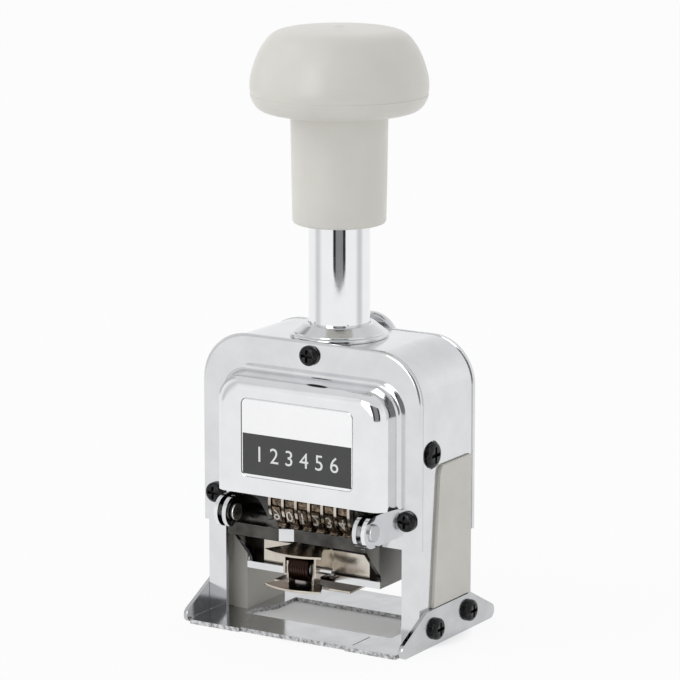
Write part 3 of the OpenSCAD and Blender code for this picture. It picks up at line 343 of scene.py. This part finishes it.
def settle(shape, name, stands_for=(), body=None, slot=None, material=None, extra=(),
           smooth_angle=35, edge_mm=0):
    """Makes an object of a bmesh and rides it where its CAD node rides."""
    first = stands_for[0] if stands_for else None
    slot = slot or slot_for[first]
    for face in shape.faces:
        face.smooth = True
    mesh = meshed(shape, name)
    for finish in (material or finishes[slot], *extra):
        mesh.materials.append(finish)
    mesh.set_sharp_from_angle(angle=math.radians(smooth_angle))
    piece = placed(name, mesh)
    if edge_mm:
        edge = piece.modifiers.new("broken_edges", "BEVEL")
        edge.width = edge_mm * MM
        edge.segments = 2
        edge.limit_method = "ANGLE"
        edge.angle_limit = math.radians(smooth_angle)
        edge.material = -1
        edge.use_clamp_overlap = True
        even = piece.modifiers.new("even_shading", "WEIGHTED_NORMAL")
        even.keep_sharp = False
    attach(piece, body or body_for[first])
    if stands_for:
        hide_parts(*stands_for)
    return piece


def node_shape(node):
    """A CAD node's mesh as a welded bmesh with its flat faces whole."""
    shape = bmesh.new()
    shape.from_mesh(cad[node].data)
    bmesh.ops.remove_doubles(shape, verts=shape.verts[:], dist=WELD)
    bmesh.ops.dissolve_limit(shape, angle_limit=math.radians(0.5), verts=shape.verts[:],
                             edges=shape.edges[:])
    return shape


def darken_inside(shape, heart, above_z=0):
    """Gives the faces above a height that look towards a point inside, in mm, the second finish,
    which paints shade onto them.
    """
    heart = Vector(heart) * MM
    for face in shape.faces:
        centre = face.calc_center_median()
        if centre.z > above_z * MM and face.normal.dot(centre - heart) < 0:
            face.material_index = 1


def finished(node, name, edge_mm, **how):
    """A CAD node with its sharp edges broken."""
    return settle(node_shape(node), name, stands_for=(node,), edge_mm=edge_mm, **how)


def chain(shape, points):
    """Joins points in mm into an open line and returns its vertices and edges."""
    verts = [shape.verts.new(Vector(point) * MM) for point in points]
    edges = [shape.edges.new(pair) for pair in zip(verts, verts[1:])]
    return verts, edges


def turned(points, steps, closed=False):
    """Turns a line of (radius, height) in mm right round the plunger's axis."""
    shape = bmesh.new()
    verts, edges = chain(shape, [(r, 0, z) for r, z in points])
    if closed:
        edges.append(shape.edges.new((verts[-1], verts[0])))
    bmesh.ops.spin(shape, geom=verts + edges, cent=(0, 0, 0), axis=(0, 0, 1),
                   angle=math.tau, steps=steps, use_merge=True)
    bmesh.ops.remove_doubles(shape, verts=shape.verts[:], dist=WELD)
    bmesh.ops.recalc_face_normals(shape, faces=shape.faces[:])
    return shape


def eased(points):
    """Cuts the corners of a line twice, keeping its ends."""
    for _ in range(2):
        soft = [points[0]]
        for a, b in zip(points, points[1:]):
            soft.append(tuple(0.75 * p + 0.25 * q for p, q in zip(a, b)))
            soft.append(tuple(0.25 * p + 0.75 * q for p, q in zip(a, b)))
        points = soft + [points[-1]]
    return points


def coil(radius, wire_r, length, turns, base, axis, rings=28, sides=10):
    """A coil spring of round wire with its last turn closed flat at each end, in mm."""
    shape = bmesh.new()
    steps = round((turns + 2) * rings)
    free = length - 2 * wire_r
    loop = bmesh.ops.create_circle(shape, segments=sides, radius=wire_r * MM)["verts"]
    bmesh.ops.rotate(shape, verts=loop, cent=(0, 0, 0), matrix=Matrix.Rotation(math.pi / 2, 3, "X"))
    bmesh.ops.translate(shape, verts=loop, vec=Vector((radius, 0, wire_r)) * MM)
    edges = list({edge for vert in loop for edge in vert.link_edges})
    caps = [edges]
    closed_rise = 2 * wire_r
    for step in range(steps):
        part = step / rings
        if part < 1 or part > turns + 1:
            rise = closed_rise / rings
        else:
            rise = (free - 2 * closed_rise) / (turns * rings)
        grown = bmesh.ops.extrude_edge_only(shape, edges=edges)
        verts = new_verts(grown)
        edges = [item for item in grown["geom"] if isinstance(item, bmesh.types.BMEdge)]
        bmesh.ops.rotate(shape, verts=verts, cent=(0, 0, 0),
                         matrix=Matrix.Rotation(math.tau / rings, 3, "Z"))
        bmesh.ops.translate(shape, verts=verts, vec=(0, 0, rise * MM))
    caps.append(edges)
    for rim in caps:
        bmesh.ops.contextual_create(shape, geom=rim)
    bmesh.ops.recalc_face_normals(shape, faces=shape.faces[:])
    turn = Vector((0, 0, 1)).rotation_difference(Vector(axis)).to_matrix()
    bmesh.ops.rotate(shape, verts=shape.verts[:], cent=(0, 0, 0), matrix=turn)
    bmesh.ops.translate(shape, verts=shape.verts[:], vec=Vector(base) * MM)
    return shape


def numeral_mesh(text, height_mm, thick_mm):
    """Plain numbers as a mesh that stands in X and Y, centred, with its back at z = 0."""
    height_of_size = 0.72
    curve = bpy.data.curves.new("numeral", "FONT")
    curve.body = text
    curve.size = height_mm * MM / height_of_size
    curve.align_x = "CENTER"
    curve.align_y = "CENTER"
    curve.extrude = thick_mm * MM / 2
    curve.resolution_u = 3
    holder = placed("numeral", curve)
    bpy.context.view_layer.update()
    shown = holder.evaluated_get(bpy.context.evaluated_depsgraph_get())
    mesh = bpy.data.meshes.new_from_object(shown)
    bpy.data.objects.remove(holder)
    mesh.transform(Matrix.Translation((0, 0, thick_mm * MM / 2)))
    return mesh


def add_numeral(shape, mesh, place, finish_index):
    """Adds a copy of a numeral to a shape at its place."""
    mesh = mesh.copy()
    mesh.transform(place)
    for face in mesh.polygons:
        face.material_index = finish_index
    shape.from_mesh(mesh)


# ---- handle ----

def make_handle():
    """The skirt with the knob's lower shell, and the knob's cap above the fine joint."""
    skirt_r = 12.7
    bore_r = tube_r + 0.9
    joint_z = 146.5
    steps = 112
    foot = [(bore_r, handle_foot_z + 0.5), (bore_r + 0.4, handle_foot_z),
            (skirt_r - 0.9, handle_foot_z), (skirt_r - 0.3, handle_foot_z + 0.25),
            (skirt_r, handle_foot_z + 0.8), (12.95, 125), (13.2, 141.3)]
    under = eased([(13.25, 141.4), (17.8, 141.5), (20.2, 141.85), (22.0, 142.7), (23.2, 144.2),
                   (23.86, 145.77)])
    hollow = [(24.0, joint_z), (23.97, 146.55), (23.5, 146.58), (21.6, 146.58), (21.2, 145.0),
              (19.6, 143.4), (5.0, 143.0), (3.4, 143.0), (3.4, 138.0), (bore_r, 138.0)]
    settle(turned(foot + under + hollow, steps, closed=True), "handle_shell",
           stands_for=("handle_body",), smooth_angle=40)
    crown = eased([(23.86, joint_z), (24.18, 148.4), (24.05, 150.5), (23.7, 152.3), (22.9, 155.0),
                   (21.8, 157.8), (20.2, 160.4), (18.3, 162.6), (15.6, 163.75), (11.0, 164.2),
                   (5.0, 164.45), (1.6, 164.5)])
    gate = [(1.45, 164.46), (1.3, 164.34), (0.9, 164.32), (0.55, 164.42), (0.0, 164.44)]
    inner = [(0.0, 161.6), (12.0, 161.3), (17.4, 160.2), (20.6, 154.5), (21.6, 148.0),
             (21.6, 146.9), (21.9, 146.52), (23.5, 146.52), (23.82, joint_z)]
    settle(turned(crown + gate + inner + crown[:1], steps), "knob_cap",
           stands_for=("handle_cap",), smooth_angle=40)


# ---- front cover ----

def arch_line(half, top, radius, y, feet):
    """An arch from its left foot up, round, across and down to its right foot, in mm."""
    steps = 12
    left = [(-half, y, z) for z in feet] + [(-half, y, top - radius)]
    for step in range(1, steps + 1):
        a = math.pi / 2 * step / steps
        left.append((-half + radius - radius * math.cos(a), y,
                     top - radius + radius * math.sin(a)))
    return left + [(-x, y, z) for x, y, z in reversed(left)]


def rounded_loop(shape, half, low, high, corner, y):
    """The edges of a rectangle with round corners that stands in X and Z, in mm."""
    steps = 5
    points = []
    for cx, cz, start in ((half - corner, high - corner, 0), (corner - half, high - corner, 90),
                          (corner - half, low + corner, 180), (half - corner, low + corner, 270)):
        for step in range(steps + 1):
            a = math.radians(start + 90 * step / steps)
            points.append((cx + corner * math.cos(a), y, cz + corner * math.sin(a)))
    verts, edges = chain(shape, points)
    return edges + [shape.edges.new((verts[-1], verts[0]))]


def thicken_behind(shape, thick):
    """Turns an open sheet's faces to the front and gives it its thickness in mm behind them."""
    bmesh.ops.recalc_face_normals(shape, faces=shape.faces[:])
    foremost = min(shape.faces, key=lambda face: face.calc_center_median().y)
    if foremost.normal.y > 0:
        bmesh.ops.reverse_faces(shape, faces=shape.faces[:])
    bmesh.ops.solidify(shape, geom=shape.faces[:], thickness=thick * MM)


def cover_rows(border_y):
    """The cover's arches from its rim inwards: the flat border, then channel and shoulder.

    Each arch is (half width, top, corner, depth) in mm.
    """
    rim_half = cover_half + 0.7
    rim_top_z = cover_top_z + 0.5
    border = [(rim_half, rim_top_z, 13.8, span("front_cover", "y")[1])]
    border += [(rim_half - off, rim_top_z - off, corner, border_y + back)
               for off, corner, back in ((0, 13.8, 1.0), (0.08, 13.75, 0.62), (0.29, 13.6, 0.29),
                                         (0.62, 13.3, 0.08), (1.0, 13.0, 0))]
    border.append((29.9, 73.5, 8.9, border_y + 0.05))
    channel = [(half, top, corner, border_y + back) for half, top, corner, back in (
        (29.65, 73.25, 8.8, 0.1), (29.3, 72.9, 8.6, 0.16), (28.9, 72.5, 8.4, 0.3),
        (28.5, 72.1, 8.2, 0.36), (28.1, 71.7, 8.0, 0.3), (27.75, 71.4, 7.8, 0.08),
        (27.45, 71.15, 7.65, -0.3), (27.25, 70.98, 7.5, -0.85), (27.1, 70.85, 7.4, -1.7))]
    steps = 10
    depth = 4.4
    face_half, face_top_z, face_corner = 22.9, 67.0, 4.7
    shoulder = []
    for step in range(steps + 1):
        a = math.pi / 2 * step / steps
        shoulder.append((face_half + 4.1 * math.cos(a), face_top_z + 3.75 * math.cos(a),
                         face_corner + 2.6 * math.cos(a),
                         label_face_y + depth - depth * math.sin(a)))
    return border, channel + shoulder


def make_front_cover():
    """Pressed cover: a flat border with ears, a rolled channel, and the label's domed pocket."""
    border_y = span("front_cover", "y")[1] - 1.2
    channel_front_y = border_y - 1.2
    dome_foot = 38.5
    border, inward = cover_rows(border_y)
    shape = bmesh.new()
    last = None
    for row in border:
        edges = chain(shape, arch_line(*row, (cover_low_z, dome_foot)))[1]
        if last:
            bmesh.ops.bridge_loops(shape, edges=last + edges)
        last = edges
    for leg, side in ((last[0], -1), (last[-1], 1)):
        for vert in new_verts(bmesh.ops.extrude_edge_only(shape, edges=[leg])):
            vert.co.x = side * lug_x * MM
    last = last[1:-1]
    for row in inward:
        verts, edges = chain(shape, arch_line(*row, (dome_foot,)))
        bmesh.ops.bridge_loops(shape, edges=last + edges)
        last = edges
    foot = shape.edges.new((verts[-1], verts[0]))
    rim = None
    for off, corner, sink in ((0.45, 2.0, 0), (0.3, 1.9, 0.06), (0.18, 1.8, 0.3)):
        inner = rounded_loop(shape, label_half + off, label_low_z - off, label_high_z + off,
                             corner, label_face_y + sink)
        if rim:
            bmesh.ops.bridge_loops(shape, edges=rim + inner)
        else:
            bmesh.ops.triangle_fill(shape, edges=last + [foot] + inner, use_beauty=True)
        rim = inner
    bmesh.ops.contextual_create(shape, geom=rim)
    thicken_behind(shape, 1.1)
    # Painted shade: behind the channel's front, forward-facing faces take the duller satin chrome
    # so the border and channel read darker than the dome, and the rest take rim_shadow, a painted
    # shadow line along the rim.
    for face in shape.faces:
        if face.calc_center_median().y > channel_front_y * MM:
            face.material_index = 2 if face.normal.y < -0.1 else 3
    # Painted shade on the faces inside the cover.
    darken_inside(shape, (0, 4, 45))
    for side in (-1, 1):
        add_lug(shape, side)
    settle(shape, "domed_cover", stands_for=("front_cover",),
           extra=(painted_shade_inside, finishes["chrome"], rim_shadow), smooth_angle=38, edge_mm=0.12)


def add_lug(shape, side):
    """A lug bent forward from an ear, with its round end at the tray's pivot."""
    lug_r, lug_thick = 4.3, 1.2
    root_y = -14.4
    outline = [(pivot_y + lug_r * math.cos(a), pivot_z + lug_r * math.sin(a))
               for a in (math.radians(90 + 180 * step / 24) for step in range(25))]
    outline += [(root_y, pivot_z - lug_r), (root_y, pivot_z + lug_r)]
    add_plate(shape, side * lug_x, outline, side * lug_thick)


def add_plate(shape, x, outline, thick):
    """Adds a plate with an outline in Y and Z, in mm, thickened along x."""
    verts = [shape.verts.new(Vector((x, y, z)) * MM) for y, z in outline]
    face = shape.faces.new(verts)
    moved = new_verts(bmesh.ops.extrude_face_region(shape, geom=[face]))
    bmesh.ops.translate(shape, verts=moved, vec=(thick * MM, 0, 0))
    near = {*verts, *moved}
    bmesh.ops.recalc_face_normals(shape, faces=[f for f in shape.faces if set(f.verts) <= near])


def make_label():
    """The label sheet in its pocket: a pale field over a dark band with plain numbers."""
    play = 0.05
    half = label_half - play
    low, high = label_low_z + play, label_high_z - play
    front = label_face_y + 0.08
    band_half, band_low, band_high = half - 0.2, low + 0.55, low + 11.9
    numbers_z = low + 6.2
    shape = bmesh.new()
    bmesh.ops.contextual_create(shape, geom=rounded_loop(shape, half, low, high, 1.6, front))
    cuts = [((0, 0, z * MM), (0, 0, 1)) for z in (band_low, band_high)]
    cuts += [((x * MM, 0, 0), (1, 0, 0)) for x in (-band_half, band_half)]
    for place, across in cuts:
        bmesh.ops.bisect_plane(shape, geom=shape.verts[:] + shape.edges[:] + shape.faces[:],
                               plane_co=place, plane_no=across)
    for face in shape.faces:
        centre = face.calc_center_median() / MM
        if band_low < centre.z < band_high and abs(centre.x) < band_half:
            face.material_index = 1
    thicken_behind(shape, 0.2)
    settle(shape, "label_sheet", stands_for=("label_plate",), extra=(band_print,))
    numbers = bmesh.new()
    numbers.from_mesh(numeral_mesh("1 2 3 4 5 6", height_mm=4.4, thick_mm=0.04))
    place = Matrix.Translation(Vector((0, front, numbers_z)) * MM)
    bmesh.ops.transform(numbers, verts=numbers.verts[:],
                        matrix=place @ Matrix.Rotation(math.pi / 2, 4, "X"))
    settle(numbers, "label_numbers_row", body="frame", slot="label", material=white_print)


# ---- base, casing and ink tray ----

def make_base():
    """Base sheet in a darker chrome that is painted shade with a scuffed roughness, with grainy
    sheared edges round its print window.
    """
    shape = node_shape("base_plate")
    sheet_top = 1.3 * MM
    for face in shape.faces:
        if abs(face.normal.z) < 0.3 and max(vert.co.z for vert in face.verts) < sheet_top:
            face.material_index = 1
    settle(shape, "base_tray", stands_for=("base_plate",), material=base_chrome,
           extra=(sheared,), edge_mm=0.3)


def make_casing():
    """The bent sheet, with painted shade inside its hood and a painted grey shade on the inward
    faces of its legs.
    """
    shape = node_shape("casing")
    # Painted shade inside the casing's hood, above 40 mm.
    darken_inside(shape, (0, 0, 30), above_z=40)
    # The legs' inward faces take the painted grey shade.
    for face in shape.faces:
        centre = face.calc_center_median()
        if face.material_index == 0 and face.normal.x * centre.x < -0.7 * abs(centre.x):
            face.material_index = 2
    settle(shape, "casing_shell", stands_for=("casing",), extra=(painted_shade_inside, shade_painted_grey),
           edge_mm=0.4)


def make_tray():
    """Ink tray: faces in painted shade, with plain chrome on its broken edges, round rims, steps
    and lip, and a bright round end on the right.
    """
    floor_up, lip_down = 1.1 * MM, 0.3 * MM
    floor_top_z = 15.5
    lip_half, lip_back_y, lip_top_z = 20.05, -12.5, 19
    shape = node_shape("tray_frame")
    for vert in shape.verts:
        x, y, z = vert.co / MM
        if z < floor_top_z:
            vert.co.z += floor_up
        elif abs(x) < lip_half and y < lip_back_y and z < lip_top_z:
            vert.co.z -= lip_down
    arm_root = [(pivot_y + 0.5, pivot_z + 4.0), (pivot_y + 8.0, pivot_z + 3.2),
                (-9.5, pivot_z + 0.6), (-6.0, 29.2), (-4.0, 25.8), (-12.0, 25.0),
                (pivot_y + 4, pivot_z - 3.5)]
    for side in (-1, 1):
        add_plate(shape, side * 20.2, arm_root, side * 1.0)
    # All faces take the painted shade except these, which keep plain chrome.
    for face in shape.faces:
        centre = face.calc_center_median() / MM
        reach = math.hypot(centre.y - pivot_y, centre.z - pivot_z)
        round_rim = abs(centre.x) > 19 and abs(face.normal.x) < 0.5 and 3.4 < reach < 5
        step = face.normal.y < -0.5 and 0.15 < abs(face.normal.x) < 0.7
        outer_end = centre.x > 0 and face.normal.x > 0.7 and reach < 3
        lip = face.normal.y < -0.7 and centre.z < pivot_z - 9
        if round_rim or step or outer_end or lip:
            face.material_index = 1
    piece = settle(shape, "tray_arms", stands_for=("tray_frame",), material=shadow_nickel,
                   extra=(finishes["chrome"],), edge_mm=0.32)
    # Broken edges keep plain chrome against the painted shade.
    piece.modifiers["broken_edges"].material = 1


def make_liners():
    """The legs' plastic liners, with painted shade on their inner faces, each with a soft proud pad
    above a plain foot.
    """
    proud, soft_edge = 0.6, 1.0
    foot = [(-7.6, 1.3), (11.5, 1.3), (11.5, 14.3), (-7.6, 14.3)]
    for side in ("left", "right"):
        node = f"{side}_liner"
        shape = node_shape(node)
        outward = math.copysign(1, middle(node, "x"))
        # Inner faces take the liner finish with painted shade.
        for face in shape.faces:
            if face.normal.x * outward < -0.7:
                face.material_index = 1
        add_plate(shape, 29.8 * outward, foot, 2.7 * outward)
        outer_x = max(abs(vert.co.x) for vert in shape.verts)
        outer = {vert for vert in shape.verts if abs(vert.co.x) > outer_x - 0.05 * MM}
        for vert in outer:
            vert.co.x += outward * proud * MM
        rim = [edge for edge in shape.edges if outer.issuperset(edge.verts)
               and len(edge.link_faces) == 2 and edge.calc_face_angle() > 1]
        bmesh.ops.bevel(shape, geom=rim, offset=soft_edge * MM, segments=5, profile=0.5,
                        affect="EDGES", material=-1, clamp_overlap=True)
        settle(shape, f"{side}_leg_liner", stands_for=(node,), extra=(shade_painted_liner,),
               smooth_angle=50, edge_mm=0.2)


def make_clip_jaw():
    """The clip's lower leaf, with a brown painted shade on its top faces."""
    shape = node_shape("clip_lower")
    # Top faces take the brown painted shade.
    for face in shape.faces:
        if face.normal.z > 0.7:
            face.material_index = 1
    settle(shape, "clip_jaw_leaf", stands_for=("clip_lower",), extra=(brown_shade_nickel,),
           edge_mm=0.2)


# ---- wheels, springs and dial ----

def make_wheels():
    """Number wheels, each with ten raised numbers round it that read the right way on paper."""
    numerals = [numeral_mesh(str(number), height_mm=3.3, thick_mm=0.3) for number in range(10)]
    type_foot_r = 11.04
    for wheel in range(1, 7):
        node = f"number_wheel_{wheel}"
        shape = node_shape(node)
        centre = Matrix.Translation(Vector((middle(node, "x"), axle_y, axle_z)) * MM)
        for number in range(10):
            place = (centre @ Matrix.Rotation(math.tau / 10 * number, 4, "X")
                     @ Matrix.Translation((0, 0, -type_foot_r * MM)))
            add_numeral(shape, numerals[(number + wheel) % 10], place, 1)
        settle(shape, f"type_wheel_{wheel}", stands_for=(node,), extra=(type_face,),
               smooth_angle=30)


def make_springs():
    """The return spring round the rod, and the pad clip's small coil."""
    low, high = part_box("return_spring")
    length = high.z - low.z
    spring = settle(coil(radius=5.4, wire_r=0.6, length=length / MM, turns=12,
                         base=(0, 0, low.z / MM), axis=(0, 0, 1)),
                    "return_coil", stands_for=("return_spring",))
    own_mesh(spring)
    low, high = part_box("clip_spring")
    wire_r = 0.42
    radius = (high.z - low.z) / MM / 2 - wire_r
    centre = (low + high) / 2 / MM
    shape = coil(radius, wire_r, (high.x - low.x) / MM, turns=6,
                 base=(low.x / MM, centre.y, centre.z), axis=(1, 0, 0), rings=20, sides=8)
    settle(shape, "clip_coil", stands_for=("clip_spring",), material=coil_wire)


def make_dial_numbers():
    """Plain numbers round the selector dial's face."""
    ring_r, recess = 5.5, 0.62
    centre = (0, span("selector_dial", "y")[1] - recess, middle("selector_dial", "z"))
    facing_back = Matrix.Rotation(math.pi, 4, "Z") @ Matrix.Rotation(math.pi / 2, 4, "X")
    shape = bmesh.new()
    for number in range(10):
        place = (Matrix.Translation(Vector(centre) * MM)
                 @ Matrix.Rotation(math.tau / 10 * number, 4, "Y")
                 @ Matrix.Translation((0, 0, ring_r * MM)) @ facing_back)
        add_numeral(shape, numeral_mesh(str(number), height_mm=1.7, thick_mm=0.06), place, 0)
    settle(shape, "dial_numbers", body="selector", slot="black_screw", material=band_print)


# ---- studio ----

def facing(place, back):
    """Where a camera or lamp stands whose back points along this direction."""
    return Matrix.Translation(place) @ back.to_track_quat("Z", "Y").to_matrix().to_4x4()


def make_camera():
    """The photograph's view: the sight line's turn and height, its distance, and a long lens."""
    turn, height = math.radians(31.65), math.radians(11.9)
    aim = Vector((0.2, 0, 78.97)) * MM
    distance = 0.9791
    back = Vector((math.sin(turn) * math.cos(height), -math.cos(turn) * math.cos(height),
                   math.sin(height)))
    camera = placed("camera", bpy.data.cameras.new("camera"))
    camera.data.lens = 190.6
    camera.data.sensor_width = 36
    camera.data.clip_start = 0.05
    camera.data.clip_end = 60
    camera.matrix_world = facing(aim + back * distance, back)
    scene.camera = camera


def seen(tree):
    """1 for rays from the camera, a mirror or glass."""
    path = tree.nodes.new("ShaderNodeLightPath")
    result = path.outputs["Is Camera Ray"]
    for kind in ("Is Glossy Ray", "Is Transmission Ray"):
        node = tree.nodes.new("ShaderNodeMath")
        node.operation = "MAXIMUM"
        tree.links.new(result, node.inputs[0])
        tree.links.new(path.outputs[kind], node.inputs[1])
        result = node.outputs[0]
    return result


def mixed(tree, share, first, second, target):
    """Feeds a target from two shaders: second by its share, first by the rest."""
    mixer = tree.nodes.new("ShaderNodeMixShader")
    for source, socket in zip((share, first, second), mixer.inputs):
        tree.links.new(source, socket)
    tree.links.new(mixer.outputs[0], target)


def make_world():
    """Even pale light all round, and a backdrop in mirrors: white low down, grey overhead."""
    world = bpy.data.worlds.new("studio")
    scene.world = world
    world.use_nodes = True
    tree = world.node_tree
    light = tree.nodes["Background"]
    light.inputs["Color"].default_value = (0.985, 0.99, 1.0, 1)
    light.inputs["Strength"].default_value = 0.72
    way = tree.nodes.new("ShaderNodeTexCoord")
    height = tree.nodes.new("ShaderNodeSeparateXYZ")
    tree.links.new(way.outputs["Generated"], height.inputs[0])
    ramp = tree.nodes.new("ShaderNodeValToRGB")
    stops = ramp.color_ramp.elements
    stops[0].position, stops[0].color = 0.22, (1, 1, 1, 1)
    for place, shade in ((0.5, 0.88), (0.78, 0.76)):
        stops.new(place).color = (shade, shade * 1.005, shade * 1.015, 1)
    stops[3].color = (0.8, 0.8, 0.81, 1)
    tree.links.new(height.outputs["Z"], ramp.inputs["Fac"])
    backdrop = tree.nodes.new("ShaderNodeBackground")
    tree.links.new(ramp.outputs["Color"], backdrop.inputs["Color"])
    mixed(tree, seen(tree), light.outputs[0], backdrop.outputs[0],
          tree.nodes["World Output"].inputs[0])


def make_floor():
    """A wide pale floor that keeps a soft shadow, and glows less under the machine."""
    open_glow, shaded_glow = 0.9, 0.1
    shade_x, shade_y = 0.04, 0.026
    shape = bmesh.new()
    bmesh.ops.create_circle(shape, cap_ends=True, segments=64, radius=30)
    floor = placed("floor", meshed(shape, "floor"))
    finish = Finish("floor_paper")
    finish.set(Roughness=0.9)
    finish.colour(finish.blend(finish.noise(400, 2), (0.93, 0.93, 0.93), (0.91, 0.91, 0.91)))
    under_machine = finish.node("ShaderNodeTexGradient",
                                finish.stretched(1 / shade_x, 1 / shade_y, 1),
                                gradient_type="SPHERICAL")
    share = finish.tree.nodes.new("ShaderNodeMath")
    share.operation = "MULTIPLY"
    finish.link(seen(finish.tree), share.inputs[0])
    finish.link(finish.ramp(under_machine, (0.0, open_glow), (0.3, shaded_glow)), share.inputs[1])
    glow = finish.node("ShaderNodeEmission")
    mixed(finish.tree, share.outputs[0], finish.shader.outputs[0], glow, finish.surface)
    finish.material.cycles.emission_sampling = "NONE"
    floor.data.materials.append(finish.material)


def make_lamp(name, place, size, watts, mirrored=False):
    """A soft lamp that faces the machine: either it lights it, or only its gloss shows the lamp."""
    machine_middle = Vector((0, 0, 0.08))
    lamp = placed(name, bpy.data.lights.new(name, "AREA"))
    lamp.data.shape = "RECTANGLE"
    lamp.data.size, lamp.data.size_y = size
    lamp.data.energy = watts
    lamp.visible_glossy = mirrored
    lamp.visible_diffuse = not mirrored
    lamp.matrix_world = facing(place, (Vector(place) - machine_middle).normalized())


def make_card(name, turn, distance, width, low, high, *shades):
    """A card that only mirrors show, facing the machine, with its shades from the middle out."""
    shape = bmesh.new()
    bmesh.ops.create_grid(shape, x_segments=6, y_segments=2, size=0.5)
    bmesh.ops.scale(shape, verts=shape.verts[:], vec=(width, high - low, 1))
    bmesh.ops.rotate(shape, verts=shape.verts[:], cent=(0, 0, 0),
                     matrix=Matrix.Rotation(math.pi / 2, 3, "X"))
    bmesh.ops.translate(shape, verts=shape.verts[:], vec=(0, -distance, (low + high) / 2))
    bmesh.ops.rotate(shape, verts=shape.verts[:], cent=(0, 0, 0),
                     matrix=Matrix.Rotation(math.radians(turn), 3, "Z"))
    card = placed(name, meshed(shape, name))
    finish = Finish(name)
    finish.tree.nodes.remove(finish.shader)
    across = finish.tree.nodes.new("ShaderNodeMapping")
    across.inputs["Rotation"].default_value = (0, 0, -math.radians(turn))
    across.inputs["Scale"].default_value = (1 / width,) * 3
    finish.link(finish.place, across.inputs["Vector"])
    along = finish.node("ShaderNodeSeparateXYZ", across.outputs[0])
    from_middle = finish.node("ShaderNodeMath", along, operation="ABSOLUTE")
    glow = finish.node("ShaderNodeEmission", finish.ramp(from_middle, *shades))
    finish.link(glow, finish.surface)
    finish.material.cycles.emission_sampling = "NONE"
    card.data.materials.append(finish.material)
    card.visible_camera = False
    card.visible_diffuse = False
    card.visible_shadow = False
    card.visible_transmission = False


make_camera()
make_world()
make_floor()
make_lamp("key_lamp", (-1.3, -1.2, 1.5), (1.6, 1.6), 12)
make_lamp("window_lamp", (-0.08, -0.75, 0.36), (0.34, 0.6), 1.6, mirrored=True)
make_card("camera_card", 31.65, 0.47, 0.46, 0.004, 0.4, (0.0, 0.26), (0.22, 0.24),
          (0.26, 0.03), (0.4, 0.02), (0.46, 0.9), (0.5, 1.0))
make_card("left_card", -105, 0.8, 0.3, 0.0, 0.8, (0.1, 0.4), (0.5, 1.0))
make_card("near_left_card", -55, 0.4, 0.3, 0.0, 0.5, (0.1, 0.7), (0.5, 1.0))
make_card("near_right_card", 112, 0.4, 0.3, 0.0, 0.5, (0.1, 0.66), (0.5, 1.0))

for node, piece in cad.items():
    piece.data.materials.clear()
    piece.data.materials.append(finishes[slot_for[node]])

make_handle()
make_front_cover()
make_label()
make_wheels()
make_springs()
make_dial_numbers()
make_base()
make_casing()
make_tray()
make_clip_jaw()
make_liners()
finished("guide_tube", "tube_finished", 0.2, material=tube_chrome)
for node, name, edge_mm in (
    ("base_screws", "base_screw_set", 0.12), ("rear_cover", "rear_cover_plate", 0.3),
    ("cover_screws", "cover_screw_set", 0.12), ("rear_screws", "rear_screw_set", 0.12),
    ("side_screws", "side_screw_set", 0.12), ("tube_collar", "collar_finished", 0.2),
    ("selector_dial", "dial_finished", 0.15), ("selector_spindle", "dial_screw", 0.12),
    ("tray_pivots", "pivot_pins", 0.15), ("type_guard", "guard_fingers", 0.12),
    ("pad_holder", "holder_box", 0.15), ("ink_pad", "pad_block", 0.3),
    ("clip_upper", "clip_top_leaf", 0.2), ("clip_pin", "clip_pin_finished", 0.12),
):
    finished(node, name, edge_mm)
